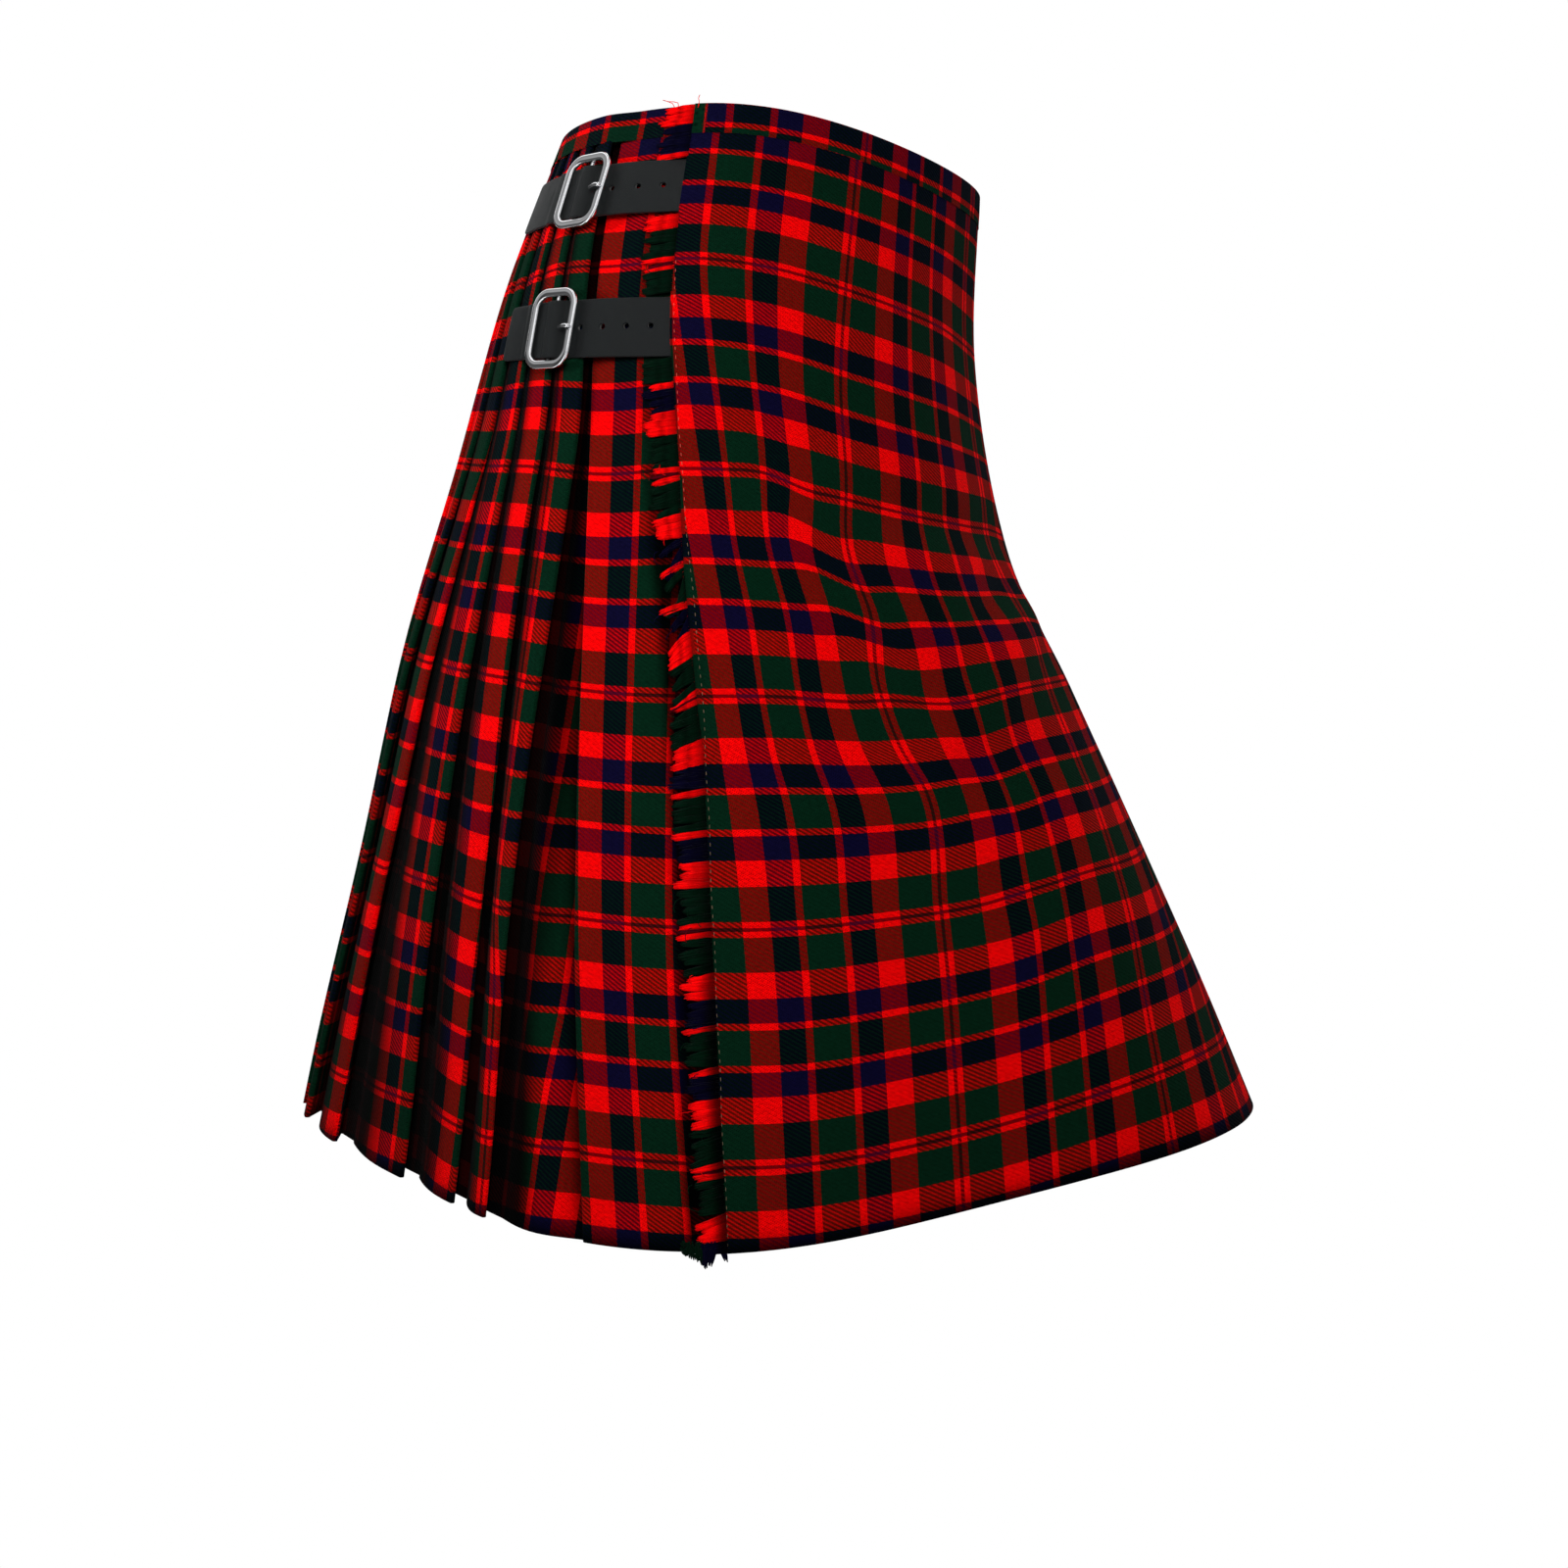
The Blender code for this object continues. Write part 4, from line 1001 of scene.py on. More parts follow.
def lineTree(name, inputs, kinds, links):
    # a tree that grows geometry from loose edges: inputs and nodes by name, and the links between them
    tree = bpy.data.node_groups.new(name, "GeometryNodeTree")
    for label, kind in (("Geometry", "Geometry"), *inputs, ("Material", "Material")):
        tree.interface.new_socket(label, in_out="INPUT", socket_type="NodeSocket" + kind)
    tree.interface.new_socket("Geometry", in_out="OUTPUT", socket_type="NodeSocketGeometry")
    made = {"start": tree.nodes.new("NodeGroupInput"), "end": tree.nodes.new("NodeGroupOutput")}
    for key, kind in {**kinds, "whole": "RealizeInstances", "paint": "SetMaterial"}.items():
        made[key] = tree.nodes.new("GeometryNode" + kind)
    if "spots" in made:
        made["spots"].mode = "LENGTH"
    for pair in (*links, "whole.Geometry > paint.Geometry", "start.Material > paint.Material",
                 "paint.Geometry > end.Geometry"):
        (source, output), (target, socket) = (end.split(".") for end in pair.split(" > "))
        tree.links.new(made[source].outputs[output], made[target].inputs[socket])
    return tree, made


def yarnTree():
    # a tapering tube along each line
    tree, made = lineTree(
        "yarns along lines", (("Yarn Radius", "Float"), ("Sides", "Int")),
        {"curve": "MeshToCurve", "taper": "SetCurveRadius", "named": "InputNamedAttribute",
         "circle": "CurvePrimitiveCircle", "tube": "CurveToMesh"},
        ("start.Geometry > curve.Mesh", "curve.Curve > taper.Curve", "named.Attribute > taper.Radius",
         "taper.Curve > tube.Curve", "start.Yarn Radius > circle.Radius", "start.Sides > circle.Resolution",
         "circle.Curve > tube.Profile Curve", "named.Attribute > tube.Scale", "tube.Mesh > whole.Geometry"))
    made["named"].inputs["Name"].default_value = "taper"
    made["tube"].inputs["Fill Caps"].default_value = True
    return tree


def stitchTree():
    # a long bead at each step along a line
    tree, made = lineTree(
        "stitches along a line", (("Pitch", "Float"), ("Size", "Vector")),
        {"curve": "MeshToCurve", "spots": "CurveToPoints", "shape": "MeshUVSphere",
         "copies": "InstanceOnPoints"},
        ("start.Geometry > curve.Mesh", "curve.Curve > spots.Curve", "start.Pitch > spots.Length",
         "spots.Points > copies.Points", "spots.Rotation > copies.Rotation", "shape.Mesh > copies.Instance",
         "start.Size > copies.Scale", "copies.Instances > whole.Geometry"))
    for key, value in (("Segments", 8), ("Rings", 6), ("Radius", 0.5)):
        made["shape"].inputs[key].default_value = value
    return tree


def grown(thing, tree, **values):
    # leaves the object with the plain mesh that a tree makes of it
    modifier = thing.modifiers.new(tree.name, "NODES")
    modifier.node_group = tree
    for item in tree.interface.items_tree:
        if item.in_out == "INPUT" and item.name.replace(" ", "") in values:
            modifier[item.identifier] = values[item.name.replace(" ", "")]
    graph = bpy.context.evaluated_depsgraph_get()
    shown = thing.evaluated_get(graph)
    mesh = bpy.data.meshes.new_from_object(shown, preserve_all_data_layers=True, depsgraph=graph)
    thing.modifiers.clear()
    old = thing.data
    thing.data = mesh
    bpy.data.meshes.remove(old)
    mesh.shade_smooth()


def lineObject(name, lines, attributes):
    # a mesh of loose edges, one chain for each line, with a float for each point
    points = np.concatenate(lines) * mm
    edges, base = [], 0
    for line in lines:
        edges += [(base + k, base + k + 1) for k in range(len(line) - 1)]
        base += len(line)
    mesh = bpy.data.meshes.new(name)
    mesh.from_pydata(points.tolist(), edges, [])
    for key, values in attributes.items():
        layer = mesh.attributes.new(key, "FLOAT", "POINT")
        layer.data.foreach_set("value", np.concatenate(values).astype(np.float32))
    thing = bpy.data.objects.new(name, mesh)
    bpy.context.scene.collection.objects.link(thing)
    return thing


edgeLevels = {}


def edgeLevel(down):
    # the ring and the apron's line of stitches there, kept for the next yarn
    key = round(down * 4) / 4
    if key not in edgeLevels:
        level = Level(min(max(key, 0.0), cloth["hem"]))
        edgeLevels[key] = (level, float(level.arc(smoothRow(apronTable, level.down)[0])))
    return edgeLevels[key]


def edgePoint(down, beyond, inset):
    level, edge = edgeLevel(down)
    point = level.place(edge + beyond, inset)
    point[2] -= max(0.0, down - cloth["hem"]) + min(0.0, down)
    return point


def stripeOf(v):
    # which of the weft's stripes is there, counted from one
    place = abs((((v - weftStart) / weftScale + sett / 2) % sett) - sett / 2)
    return sum(place >= end for end, _ in stripeEnds)


def stripeColour(v):
    return stripeEnds[stripeOf(v) - 1][1]


def lockEdges(top, bottom, toV):
    # where the fringe parts: at each change of colour, and within a broad stripe
    downs = np.arange(top, bottom, 0.1)
    kinds = [stripeOf(toV(d)) for d in downs]
    ends = [top] + [d for d, one, two in zip(downs[1:], kinds, kinds[1:]) if one != two] + [bottom]
    edges = []
    for one, two in zip(ends, ends[1:]):
        count = math.ceil((two - one) / fringe["lock"])
        edges += [(one + (two - one) * k / count, one + (two - one) * (k + 1) / count, k == 0)
                  for k in range(count)]
    return edges


class Yarns:
    # lines in millimetres, with v, thickness and brightness for the points of each
    def __init__(self):
        self.lines = []
        self.values = {"clothV": [], "taper": [], "tone": []}

    def add(self, line, v, taper, tone):
        self.lines.append(np.array(line))
        for key, value in (("clothV", v), ("taper", taper), ("tone", tone)):
            self.values[key].append(np.broadcast_to(value, len(line)))

    def finish(self, name, node, tree):
        thing = lineObject(name, self.lines, self.values)
        grown(thing, tree, YarnRadius=fringe["yarnRadius"] * mm, Sides=fringe["sides"], Material=fringeYarn)
        fit(thing, node)
        print("fringe", name, len(self.lines), "yarns", len(thing.data.polygons), "faces")
        return thing


def drawn(key):
    return rng.uniform(*fringe[key])


def fringeShade(low):
    # painted shade at each of a yarn's points, as brightness
    at = np.linspace(0.0, 1.0, fringe["points"])
    upper, lower = (np.interp(at, fringe["toneAlong"], fringe[key]) for key in ("toneUpper", "toneLower"))
    return upper * (1.0 - low) + lower * low


def makeFringe(top, bottom, bare, toV):
    yarns = Yarns()
    shared = 0.0
    for one, two, starts in lockEdges(top, bottom, toV):
        middle, half = (one + two) / 2, (two - one) / 2
        usual = np.interp(middle, fringe["droopDown"], fringe["droop"])
        if starts:
            shared = usual * drawn("shared")
        droop = max(0.2, shared + usual * drawn("own"))
        woven = np.interp(middle, wovenDown, wovenReach)
        length = (fringe["reach"] - woven) * drawn("length")
        length *= np.interp(middle, fringe["shortDown"], fringe["short"])
        bright = drawn("bright") * (1.0 if stripeColour(toV(middle)) == "red" else fringe["dull"])
        # painted shade along the yarn; the lock's random brightness is multiplied in below
        tone = fringeShade(float(np.interp(middle, fringe["lowDown"], (0.0, 1.0))))
        reach = math.sqrt(max(length ** 2 - droop ** 2, 25.0))
        fan, lift, curl, bow = (drawn(key) for key in ("fan", "lift", "curl", "bow"))
        if any(a < middle < b for a, b in bare):
            continue
        count = max(1, round((two - one) / fringe["pitch"]))
        for layer, k in itertools.product(range(fringe["layers"]), range(count)):
            down = one + (k + 0.5 + 0.33 * (layer - 1) + drawn("aside")) * (two - one) / count
            across = down - middle
            own = reach * (1.0 + drawn("yarnLength") - 0.13 * (across / half) ** 4)
            phase, wave = rng.uniform(0, 2 * math.pi), drawn("wave")
            line = []
            for t in np.linspace(0.0, 1.0, fringe["points"]):
                at = middle + across * (1.0 + (fan - 1.0) * t) + droop * t ** bow
                at += (curl * half * 0.4 + wave * math.sin(5.0 * t + phase)) * t
                deep = 0.25 + fringe["layerDepth"] * layer + (fringe["sink"] + lift) * t ** 1.5
                deep += 0.3 * wave * math.cos(4.0 * t + phase) * t
                line.append(edgePoint(at, woven - 0.7 + (own + 0.7) * t, deep))
            inside = min(max(down, one + 0.05), two - 0.05)
            taper = np.array(fringe["taper"]) * drawn("yarnSize")
            yarns.add(line, toV(inside), taper, tone * bright * drawn("yarnBright"))
    return yarns


def addStrays(yarns, top, bottom, bare, toV):
    # loose single threads that stand off the locks
    for _ in range(fringe["strays"]):
        down = rng.uniform(top, bottom)
        start, turn = rng.uniform(2.0, 13.0), rng.uniform(-1.2, 1.6)
        length, off = rng.uniform(4.0, 8.0), rng.uniform(0.2, 2.0)
        if any(a - 3.0 < down < b + 3.0 for a, b in bare):
            continue
        line = []
        for t in np.linspace(0.0, 1.0, fringe["points"]):
            beyond = start + 4.0 + length * t * math.cos(turn * t)
            deep = 1.2 - off * math.sin(2.4 * t)
            line.append(edgePoint(down + length * math.sin(turn * t) * t, beyond, deep))
        yarns.add(line, toV(down), fringe["thin"], 0.8)


# red threads above the rim, as down, beyond the stitches and inset at each of their points
rimThreads = (
    ((2.0, 11.0, 0.3), (-0.6, 12.5, 0.0), (-1.8, 15.0, -0.2), (-2.8, 18.0, 0.0)),
    ((2.0, 9.0, 0.2), (-0.8, 9.5, 0.4), (-1.6, 12.0, 0.6), (-1.9, 15.5, 0.4)),
    ((3.0, -2.0, -0.8), (-0.5, -2.2, -0.4), (-2.4, -1.7, 0.2), (-4.2, -2.4, 0.3)),
)
# the tufts at the hem's corner: how far each hangs below the hem, and how far beyond the stitches it starts
hemTufts = ((6.5, 10.0), (4.5, 13.5), (1.5, 17.5), (5.0, 6.0), (3.0, 2.0), (0.5, 20.5))
hemTuft = {
    "yarns": 16,
    "pitch": 0.22,
    "taper": (1.1, 1.1, 1.05, 1.0, 0.6),
    "tone": 0.6,
    "greenFrom": 13.0,       # the tufts that start beyond this are green
    "greenV": 22.0,          # how far above the hem's v its green is, and its navy
    "navyV": 2.0,
}
bandFringe = {"top": 0.6, "v": 76.6, "threadV": 70.0, "threadTone": 0.9}


def addTufts(yarns):
    for below, beyond in hemTufts:
        lean = rng.uniform(-1.5, 2.5)
        for k in range(hemTuft["yarns"]):
            start = cloth["hem"] - rng.uniform(1.0, 6.0)
            lean += rng.uniform(-0.5, 0.5)
            line = []
            for t in np.linspace(0.0, 1.0, len(hemTuft["taper"])):
                deep = 1.0 + 2.2 * t + 0.3 * (k % 3)
                aside = beyond + lean * t + hemTuft["pitch"] * k
                line.append(edgePoint(start + (below + 3.0) * t, aside, deep))
            v = cloth["hem"] - hemTuft["greenV" if beyond > hemTuft["greenFrom"] else "navyV"]
            yarns.add(line, v, np.array(hemTuft["taper"]), hemTuft["tone"])


def makeFringes():
    tree = yarnTree()
    half = strap["width"] / 2
    bare = [(down - half - 2.0, down + half + 1.0) for _, down, *_ in rightStraps]      # under the straps
    hem = cloth["hem"]
    top = band["depth"] + 0.3
    yarns = makeFringe(top, hem - 0.5, bare, lambda d: d)
    addStrays(yarns, top + 60.0, hem - 6.0, bare, lambda d: d)
    addTufts(yarns)
    apron = yarns.finish("fringe_apron", "apron_fringe", tree)

    yarns = makeFringe(bandFringe["top"], band["depth"], [], lambda d: bandFringe["v"] - d)
    for thread in rimThreads:
        path = np.array(thread)
        t = np.linspace(0.0, len(path) - 1.0, 10)
        path = np.stack([np.interp(t, range(len(path)), path[:, k]) for k in range(3)], 1)
        line = [edgePoint(*p) for p in path]
        yarns.add(line, bandFringe["threadV"], fringe["thin"], bandFringe["threadTone"])
    yarns.finish("fringe_waistband", "waistband_fringe", tree)
    return apron


# stitches along the apron's edge
stitch = {
    "pitch": 4.4,
    "length": 2.0,
    "width": 0.38,
    "beyond": 0.4,           # the line that the fringe starts from
    "proud": 0.05,
    "wander": 0.25,
    "redTop": 96.0,          # where the red thread starts and gives way to the brown
    "redEnd": 226.0,
}


def makeStitches():
    tree = stitchTree()
    size = (stitch["width"] * mm, stitch["width"] * mm, stitch["length"] * mm)
    rows = (("edge_stitches_upper", stitch["redTop"], stitch["redEnd"], redThread),
            ("edge_stitches", stitch["redEnd"], cloth["hem"] - 4.0, edgeThread))
    for name, top, bottom, material in rows:
        line = [edgePoint(d, stitch["beyond"] + stitch["wander"] * math.sin(d / 9.0), 0.1 - stitch["proud"])
                for d in np.arange(top, bottom, 1.0)]
        thing = lineObject(name, [line], {})
        grown(thing, tree, Pitch=stitch["pitch"] * mm, Size=size, Material=material)
        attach(thing, "root")
        print("stitches", name, len(thing.data.polygons))


strap = {
    "width": 32.0,
    "thickness": 2.1,
    "corner": 3.5,           # of its end
    "tuck": 12.0,            # how far it runs in beneath the apron's edge
    "tuckGap": 0.9,
    "chapeThickness": 1.6,   # of the loop that holds the buckle
    "chapeCorner": 2.5,
    "chapeStart": 4.0,       # how far in front of the bar the loop starts
    "gap": 0.4,              # between leather and cloth
    "barGap": 0.8,           # between the strap and the bar it passes over
    "barRadius": 1.3,
    "barReach": 4.6,         # how far beside the bar the strap is still lifted
    "holeRadius": 1.5,
    "holeAcross": 0.5,
    "tongueHole": 8.4,       # from the bar
    "edgeRound": 0.5,
    "grid": 1.6,             # spacing of its mesh
    "edgeRows": (0.25, 0.6),         # insets of the rows of points that round its edges
    "holeSides": 16,
}
# name, down, degrees of the buckle's bar and of the strap's end, the loop's reach, and degrees of the holes
rightStraps = (
    ("top", 50.0, 115.5, 143.0, 26.0, (108.3, 102.1, 96.6)),
    ("lower", 131.0, 116.5, 133.3, 22.0, (110.5, 105.7, 101.1, 96.6)),
)
leftStrap = {
    "down": 50.0,
    "start": 2.6,            # how far behind the left fold the strap starts
    "reach": 52.0,           # and its bar lies
    "end": 42.0,             # how far it runs beyond the bar, and its loop
    "chape": 24.0,
    "slant": 28.0,           # over this length its start follows the fold's slant
    "holePast": 7.0,         # its free hole, from the buckle's frame
}
buckle = {
    "halfWidth": 14.2,
    "halfHeight": 19.1,
    "corner": 8.0,
    "lift": 0.5,             # of the frame off its bar's middle
    "halfBand": 2.25,        # half the frame's breadth, and its thickness
    "rise": 2.7,
    "square": 0.7,           # how square the frame's section is: 1 for round, less for squarer
    "sides": 16,
    "tongueRadius": 1.2,
    # along the tongue from the bar: how far, how high and how thick
    "tongue": ((-7.0, 2.9, 1.0), (-8.3, 3.4, 1.0), (-9.6, 3.9, 1.0), (-10.8, 4.4, 1.0), (-12.0, 4.75, 1.0),
               (-13.2, 4.9, 1.0), (-14.4, 4.85, 0.97), (-15.5, 4.65, 0.85), (-16.2, 4.4, 0.6),
               (-16.4, 4.35, 0.2)),
    "tongueSides": 12,
}


def circle(count):
    return [(math.cos(a), math.sin(a)) for a in np.linspace(0, 2 * math.pi, count, endpoint=False)]


def strapInset(past, chapeReach):
    # how deep the strap's back is beside the bar: lifted over it, and over the loop behind it
    resting = -strap["gap"]
    if -6.5 <= past <= chapeReach + 1.0:
        resting -= strap["chapeThickness"] + strap["gap"]
    overBar = -(strap["chapeThickness"] + 2 * strap["gap"] + 2 * strap["barRadius"] + strap["barGap"])
    return resting + (overBar - resting) * math.exp(-(past / strap["barReach"]) ** 4)


def roundedOutline(start, end, half, corner, roundStart):
    # an outline with its end's corners rounded, as (along, across)
    sign = 1.0 if end > start else -1.0
    quarter = np.linspace(0.0, math.pi / 2, 6)
    path = []
    for tip, way, first in ((end, sign, 1), (start, -sign, -1)):
        if tip == start and not roundStart:
            return path + [(start, -half), (start, half)]
        for side in (first, -first):
            for a in (quarter if side == first else math.pi / 2 - quarter):
                path.append((tip - way * corner + way * corner * math.sin(a),
                             side * (half - corner + corner * math.cos(a))))
    return path


def dense(loop, spacing):
    # the loop with points added along its longer sides
    full = []
    for k, a in enumerate(loop):
        b = loop[(k + 1) % len(loop)]
        count = max(1, int(math.hypot(b[0] - a[0], b[1] - a[1]) / spacing))
        full += [(a[0] + (b[0] - a[0]) * i / count, a[1] + (b[1] - a[1]) * i / count) for i in range(count)]
    return full


def edgeDistance(points, loops):
    # from each point to the nearest side of any loop
    best = np.full(len(points), 1e9)
    for loop in loops:
        a = np.array(loop)
        b = np.roll(a, -1, axis=0)
        d = b - a
        t = np.clip(np.sum((points[:, None] - a[None]) * d[None], -1) / np.sum(d * d, -1)[None], 0, 1)
        nearest = a[None] + t[..., None] * d[None]
        best = np.minimum(best, np.linalg.norm(points[:, None] - nearest, axis=-1).min(1))
    return best


def insideLoop(points, loop):
    inside = np.zeros(len(points), bool)
    a = np.array(loop)
    b = np.roll(a, -1, axis=0)
    for (ax, ay), (bx, by) in zip(a, b):
        cross = (ay > points[:, 1]) != (by > points[:, 1])
        x = ax + (points[:, 1] - ay) * (bx - ax) / (by - ay if by != ay else 1e-9)
        inside ^= cross & (points[:, 0] < x)
    return inside


def withinLoops(points, loops):
    # inside the first loop and outside the holes
    inside = insideLoop(points, loops[0])
    for loop in loops[1:]:
        inside &= ~insideLoop(points, loop)
    return inside


def ringRound(x, y, radius):
    return [(x + radius * c, y + radius * s) for c, s in circle(strap["holeSides"])]


def leatherSheet(outline, holes):
    # flat triangles for a strap with holes punched through it
    step = strap["grid"]
    loops = [dense(outline, step)] + [ringRound(*hole) for hole in holes]
    points, edges = [], []
    for loop in loops:
        base = len(points)
        points += loop
        edges += [(base + k, base + (k + 1) % len(loop)) for k in range(len(loop))]
    xs = [p[0] for p in loops[0]]
    reach = strap["width"] / 2 - step
    grid = np.array([(x, y) for x in np.arange(min(xs) + 1.0, max(xs), step)
                     for y in np.arange(-reach, reach + 0.1, step)])
    ring = np.array(loops[0])
    along = np.roll(ring, -1, axis=0) - np.roll(ring, 1, axis=0)
    along /= np.linalg.norm(along, axis=1)[:, None]
    normal = np.stack([-along[:, 1], along[:, 0]], 1)
    if insideLoop(ring + normal * 0.3, loops[0]).mean() < 0.5:
        normal = -normal
    rings = []
    for inset in strap["edgeRows"]:
        rings.append(ring + normal * inset)
        rings += [np.array(ringRound(x, y, radius + inset)) for x, y, radius in holes]
    extra = np.concatenate([grid[edgeDistance(grid, loops) > 1.1]] + rings)
    extra = extra[withinLoops(extra, loops) & (edgeDistance(extra, loops) > 0.15)]
    points = points + [tuple(p) for p in extra]
    made = delaunay_2d_cdt([Vector(p) for p in points], edges, [], 0, 1e-4)
    flat = np.array([tuple(p) for p in made[0]])
    triangles = np.array([tuple(f) for f in made[2]])
    return flat, triangles[withinLoops(flat[triangles].mean(axis=1), loops)], loops


def makeLeather(name, node, outline, holes, placeAt, insetAt, thickness):
    flat, triangles, loops = leatherSheet(outline, holes)
    count = len(flat)
    soft = strap["edgeRound"]
    short = np.clip(soft - edgeDistance(flat, loops), 0.0, soft)
    sink = soft - np.sqrt(np.maximum(soft ** 2 - short ** 2, 0.0))
    inner = insetAt(flat[:, 0])
    points = np.concatenate([placeAt(flat, inner - thickness + sink), placeAt(flat, inner)])
    front = [tuple(t) for t in triangles.tolist()]
    back = [(c + count, b + count, a + count) for a, b, c in front]
    pairs = dict.fromkeys(pair for a, b, c in front for pair in ((a, b), (b, c), (c, a)))
    walls = [(j, i, i + count, j + count) for i, j in pairs if (j, i) not in pairs]
    faces = facesOut(points, front + back + walls)
    thing = makeObject(name, points, faces, [leather, cutEdge], None, 50.0)
    flags = np.zeros(len(thing.data.polygons), np.int32)
    flags[2 * len(triangles):] = 1       # the cut edges
    thing.data.polygons.foreach_set("material_index", flags)
    fit(thing, node)


def strapPlace(down, slant=None):
    # a function from (arc at the strap's middle, across) and depth to a place in space
    middle = Level(down)

    def place(flat, inset):
        result = np.zeros((len(flat), 3))
        degrees = middle.angle(flat[:, 0])
        for across in np.unique(np.round(flat[:, 1], 2)):
            some = np.abs(flat[:, 1] - across) < 0.006
            level = Level(down - across)
            arcs = level.arc(degrees[some])
            if slant is not None:
                lean = apronArcs(level)[0] - float(level.arc(middle.angle(apronArcs(middle)[0])))
                share = np.clip(1.0 - np.abs(flat[some, 0] - slant) / leftStrap["slant"], 0.0, 1.0)
                arcs = arcs + lean * share
            result[some] = level.place(arcs, inset[some])
        return result
    return place


def profileOf(stations):
    # a smoothed depth along the strap, from (arc, depth)
    arcs, insets = zip(*sorted(stations))
    fine = np.arange(arcs[0] - 8.0, arcs[-1] + 8.0, 0.25)
    value = np.interp(fine, arcs, insets)
    kernel = np.exp(-np.linspace(-2, 2, 13) ** 2)
    value = np.convolve(np.pad(value, 6, "edge"), kernel / kernel.sum(), "valid")
    return lambda x: np.interp(x, fine, value)


def localFrame(down, arc, inset):
    # a place on the ring, with the ways along it, up and out
    level, above, below = Level(down), Level(down - 8.0), Level(down + 8.0)
    angle = level.angle(arc)
    here = Vector(level.place(arc, inset))
    along = (Vector(level.place(arc + 4.0, 0.0)) - Vector(level.place(arc - 4.0, 0.0))).normalized()
    up = Vector(above.place(above.arc(angle), 0.0)) - Vector(below.place(below.arc(angle), 0.0))
    up = (up - along * up.dot(along)).normalized()
    out = along.cross(up).normalized()
    if out.dot(Vector((here.x, here.y - cloth["centreY"], 0.0))) < 0:
        out = -out
    return here, along, up, out


def tube(rings, closed):
    sides, faces = len(rings[0]), []
    count = len(rings)
    for k in range(count if closed else count - 1):
        a, b = k * sides, ((k + 1) % count) * sides
        faces += [(a + i, a + (i + 1) % sides, b + (i + 1) % sides, b + i) for i in range(sides)]
    if not closed:
        faces += [tuple(range(sides)), tuple(reversed([(count - 1) * sides + i for i in range(sides)]))]
    return [tuple(p) for ring in rings for p in ring], faces


def makeBuckle(name, node, down, arc, toward):
    barHeight = 2 * strap["gap"] + strap["chapeThickness"] + strap["barRadius"]
    place, along, up, out = localFrame(down, arc, -barHeight)
    corner, square = buckle["corner"], buckle["square"]
    rings = []
    for turn, (sx, sy) in enumerate(((1, 1), (-1, 1), (-1, -1), (1, -1))):
        for k in range(11):
            angle = math.radians(90 * turn + 9 * k)
            way = (math.cos(angle), math.sin(angle))
            x = sx * (buckle["halfWidth"] - corner) + corner * way[0]
            y = sy * (buckle["halfHeight"] - corner) + corner * way[1]
            ring = []
            for c, s in circle(buckle["sides"]):
                aside = buckle["halfBand"] * math.copysign(abs(c) ** square, c)
                high = buckle["rise"] / 2 * (1 + math.copysign(abs(s) ** square, s))
                ring.append(place + along * (x + way[0] * aside) + up * (y + way[1] * aside)
                            + out * (buckle["lift"] + high))
            rings.append(ring)
    points, faces = tube(rings, True)
    faces = facesOut(points, faces)
    radius = strap["barRadius"]
    bar = [[place + up * y + along * (radius * c) + out * (radius * s) for c, s in circle(buckle["sides"])]
           for y in np.linspace(-1, 1, 5) * (buckle["halfHeight"] - 1.0)]
    barPoints, barFaces = tube(bar, False)
    faces += [tuple(i + len(points) for i in f) for f in facesOut(barPoints, barFaces)]
    rim = makeObject(name + "_frame", points + barPoints, faces, chrome, None, 60.0)
    fit(rim, node + "_frame")

    path = buckle["tongue"]
    rings = []
    for k, (x, high, slim) in enumerate(path):
        before, after = path[max(k - 1, 0)], path[min(k + 1, len(path) - 1)]
        run = (along * (-(after[0] - before[0]) * toward) + out * (after[1] - before[1])).normalized()
        rise = run.cross(up).normalized()
        centre = place + along * (-x * toward) + out * high
        rings.append([centre + (up * c + rise * s) * buckle["tongueRadius"] * slim
                      for c, s in circle(buckle["tongueSides"])])
    points, faces = tube(rings, False)
    tongue = makeObject(name + "_tongue", points, facesOut(points, faces), chrome, None, 60.0)
    fit(tongue, node + "_tongue")


def makeStrap(name, down, bar, start, end, chapeReach, holes, stations, slant=None):
    # the strap, the loop that holds its buckle and the buckle, facing the way from start to end
    toward = 1.0 if end > start else -1.0
    half, gap = strap["width"] / 2, strap["gap"]
    outline = roundedOutline(start, end, half, strap["corner"], False)
    makeLeather("strap_leather_" + name, "strap_" + name, outline,
                [(arc, strap["holeAcross"], strap["holeRadius"]) for arc in holes],
                strapPlace(down, slant), profileOf(stations), strap["thickness"])
    outline = roundedOutline(bar - toward * strap["chapeStart"], bar + toward * chapeReach, half,
                             strap["chapeCorner"], True)
    makeLeather("chape_leather_" + name, "chape_" + name, outline, [], strapPlace(down),
                lambda x: np.full(len(x), -gap), strap["chapeThickness"])
    makeBuckle("buckle_chrome_" + name, "buckle_" + name, down, bar, -toward)
    print("strap", name)


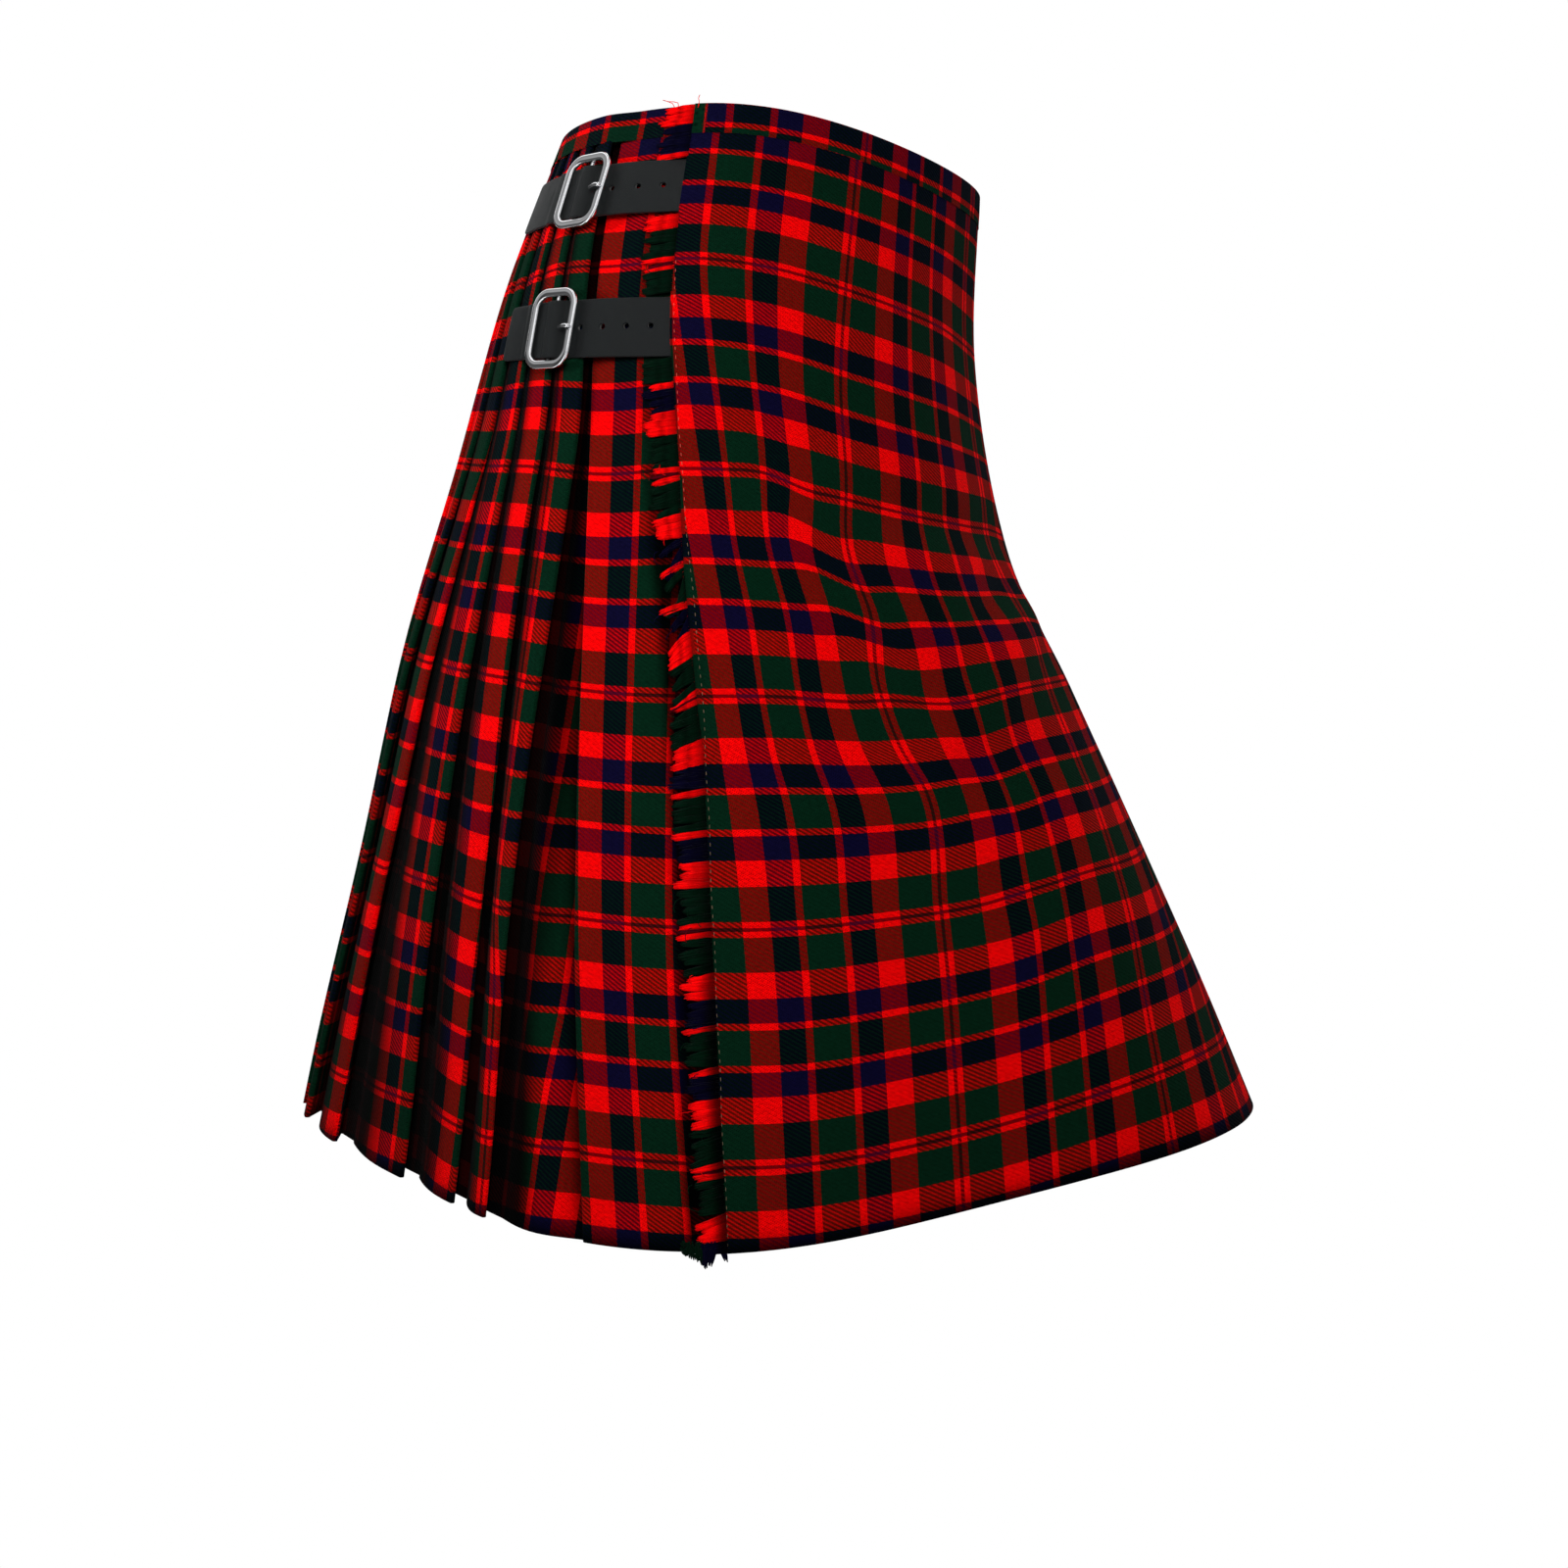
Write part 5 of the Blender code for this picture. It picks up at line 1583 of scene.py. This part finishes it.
def makeRightStraps():
    gap = strap["gap"]
    tucked = 1.2 + strap["tuckGap"] + strap["thickness"]
    for name, down, buckleAngle, endAngle, chapeReach, holeAngles in rightStraps:
        level = Level(down)
        reverse = float(level.arc(reverseAngle(down)))
        edge = float(level.arc(smoothRow(apronTable, down)[0]))
        bar, end = float(level.arc(buckleAngle)), float(level.arc(endAngle))
        stations = [(edge - strap["tuck"] - 5.0, tucked), (edge + 2.0, tucked)]
        rampEnd = reverse - 4.0
        for t in np.linspace(0.0, 1.0, 9)[1:]:
            ease = t * t * (3 - 2 * t)
            stations.append((edge + 2.0 + t * (rampEnd - edge - 2.0), tucked + (-gap - tucked) * ease))
        for past in np.arange(-9.0, 17.1, 0.75):
            if rampEnd < bar + past < end:
                stations.append((bar + past, strapInset(past, chapeReach)))
        if end - bar > chapeReach + 4.0:
            stations.append((bar + chapeReach + 1.0, strapInset(chapeReach + 1.0, chapeReach)))
            stations.append((bar + chapeReach + 4.0, -gap))
        stations.append((end, strapInset(end - bar, chapeReach)))
        holes = [float(level.arc(a)) for a in holeAngles] + [bar - strap["tongueHole"]]
        makeStrap(name, down, bar, edge - strap["tuck"], end, chapeReach, holes, stations)


def makeLeftStrap():
    down, chape, gap = leftStrap["down"], leftStrap["chape"], strap["gap"]
    fold = apronArcs(Level(down))[0]
    bar = fold - leftStrap["reach"]
    start, end = fold - leftStrap["start"], bar - leftStrap["end"]
    stations = [(start, 1.9), (fold - 5.5, 0.4), (fold - 9.0, -gap), (fold - 30.0, -gap)]
    stations += [(bar - past, strapInset(past, chape)) for past in np.arange(-9.0, 17.1, 0.75)]
    stations += [(bar - chape - 1.0, strapInset(chape + 1.0, chape)), (bar - chape - 4.0, -gap), (end, -gap)]
    holes = [bar + buckle["halfWidth"] + leftStrap["holePast"], bar + strap["tongueHole"]]
    makeStrap("left", down, bar, start, end, chape, holes, stations, start)


camera = {
    "place": (-1.3295, -0.2159, -0.238),
    "heading": 8.952,        # degrees from +X towards +Y
    "pitch": 4.579,          # degrees down
    "lens": 53.5,
    "sensor": 36.0,
}


def makeCamera():
    data = bpy.data.cameras.new("camera")
    data.lens, data.sensor_width = camera["lens"], camera["sensor"]
    data.clip_start, data.clip_end = 0.05, 60.0
    thing = bpy.data.objects.new("camera", data)
    bpy.context.scene.collection.objects.link(thing)
    h, p = math.radians(camera["heading"]), math.radians(camera["pitch"])
    forward = Vector((math.cos(h) * math.cos(p), math.sin(h) * math.cos(p), -math.sin(p)))
    thing.rotation_mode = "QUATERNION"
    thing.rotation_quaternion = forward.to_track_quat("-Z", "Y")
    thing.location = camera["place"]
    bpy.context.scene.camera = thing


lights = (
    # place, aims at, width, height, watts, spread in degrees
    ("key", (-2.10, -0.35, 0.45), (-0.10, 0.0, -0.19), 0.7, 0.7, 3.85, 56),
    ("side", (-0.75, 2.20, 0.25), (-0.05, 0.0, -0.02), 0.6, 0.6, 2.05, 36),
    ("low", (-2.0, -0.5, -0.80), (0.0, 0.0, -0.35), 0.8, 0.8, 2.0, 180),
    ("top", (0.3, 0.0, 2.3), (0.0, 0.0, -0.2), 1.6, 1.6, 11.5, 180),
    ("back", (2.2, 1.4, 0.8), (0.0, 0.0, -0.3), 1.3, 1.3, 33.0, 180),
    ("left", (2.0, -1.6, 0.7), (0.0, 0.0, -0.3), 1.3, 1.3, 32.0, 180),
)
studio = {
    "floor": -1.05,          # its height, below the hem
    "radius": 9.0,
    "sides": 64,
    "white": 1.0,
    "world": 0.04,
    "tint": (0.95, 0.97, 1.0, 1.0),
}
room = {
    # how bright the mirrored walls are from front to back, and what is added from low to high
    "radius": 7.0,
    "bright": 1.6,
    "aside": ((0.0, 0.03), (0.10, 0.03), (0.14, 0.65), (0.20, 0.65), (0.24, 0.03), (0.40, 0.02), (0.46, 0.12),
              (0.52, 1.0), (0.58, 1.0), (0.64, 0.08), (0.72, 0.05), (0.76, 0.85), (0.81, 0.85), (0.84, 0.03),
              (0.95, 0.02), (1.0, 0.06)),
    "upward": ((0.0, 0.10), (0.30, 0.04), (0.44, 0.0), (0.64, 0.0), (0.70, 0.20), (1.0, 0.05)),
}


def makeLights():
    for name, place, aim, width, height, watts, opening in lights:
        data = bpy.data.lights.new(name, "AREA")
        data.shape, data.size, data.size_y, data.energy = "RECTANGLE", width, height, watts
        data.spread = math.radians(opening)
        thing = bpy.data.objects.new(name, data)
        bpy.context.scene.collection.objects.link(thing)
        thing.location = place
        thing.visible_glossy = False
        thing.rotation_mode = "QUATERNION"
        thing.rotation_quaternion = (Vector(aim) - Vector(place)).to_track_quat("-Z", "Y")
    world = bpy.data.worlds.new("studio")
    bpy.context.scene.world = world
    world.use_nodes = True
    world.node_tree.nodes["Background"].inputs[0].default_value = studio["tint"]
    world.node_tree.nodes["Background"].inputs[1].default_value = studio["world"]


def glowing(nodes, colour, strength):
    nodes.set(Base_Color=(0.0, 0.0, 0.0), Roughness=1.0, Specular_IOR_Level=0.0,
              Emission_Color=colour, Emission_Strength=strength)
    return nodes.material


def shell(name, radius, lifts, material):
    # rings of a sphere at these angles above the horizon
    rings = []
    for lift in lifts:
        r = radius * math.cos(lift)
        rings.append([(r * c, r * s, radius * math.sin(lift)) for c, s in circle(studio["sides"])])
    points, faces = tube(rings, False)
    return makeObject(name, points, faces, material, None, 0, 1.0)


def makeStudio():
    radius, white, sides = studio["radius"], studio["white"], studio["sides"]
    paper = glowing(Nodes("floor paper"), (1.0, 1.0, 1.0), white)
    points = [(radius * c, radius * s, studio["floor"]) for c, s in circle(sides)]
    floor = makeObject("floor", points, [tuple(range(sides))], paper, None, 0, 1.0)
    paper = glowing(Nodes("backdrop paper"), (1.0, 1.0, 1.0), white)
    dome = shell("backdrop", radius + 1.0, np.linspace(-0.4, math.pi / 2 - 0.02, 14), paper)

    nodes = Nodes("mirrored room")
    _, across, height = nodes.split(nodes.place())
    bright = []
    for along, key in ((across, "aside"), (height, "upward")):
        share = nodes.plus(nodes.over(along, 2.0 * room["radius"]), 0.5)
        bright.append(nodes.ramp(share, [(at, grey(value)) for at, value in room[key]]))
    walls = glowing(nodes, nodes.mix(1.0, *bright, "ADD"), room["bright"])
    top = math.pi / 2 - 0.05
    mirrored = shell("mirrored room", room["radius"], np.linspace(-top, top, 18), walls)
    mirrored.visible_camera = False      # it is seen in the chrome only
    for thing in (floor, dome, mirrored):
        thing.visible_diffuse = False
        thing.visible_shadow = False
        thing.visible_glossy = thing == mirrored
    bpy.context.scene.view_settings.view_transform = "Standard"
    print("studio made")


makeCamera()
makeLights()
makeStudio()
pieces = makeCloth(cloth["rows"])
makeBands()
apronFringe = makeFringes()
makeStitches()
makeRightStraps()
makeLeftStrap()
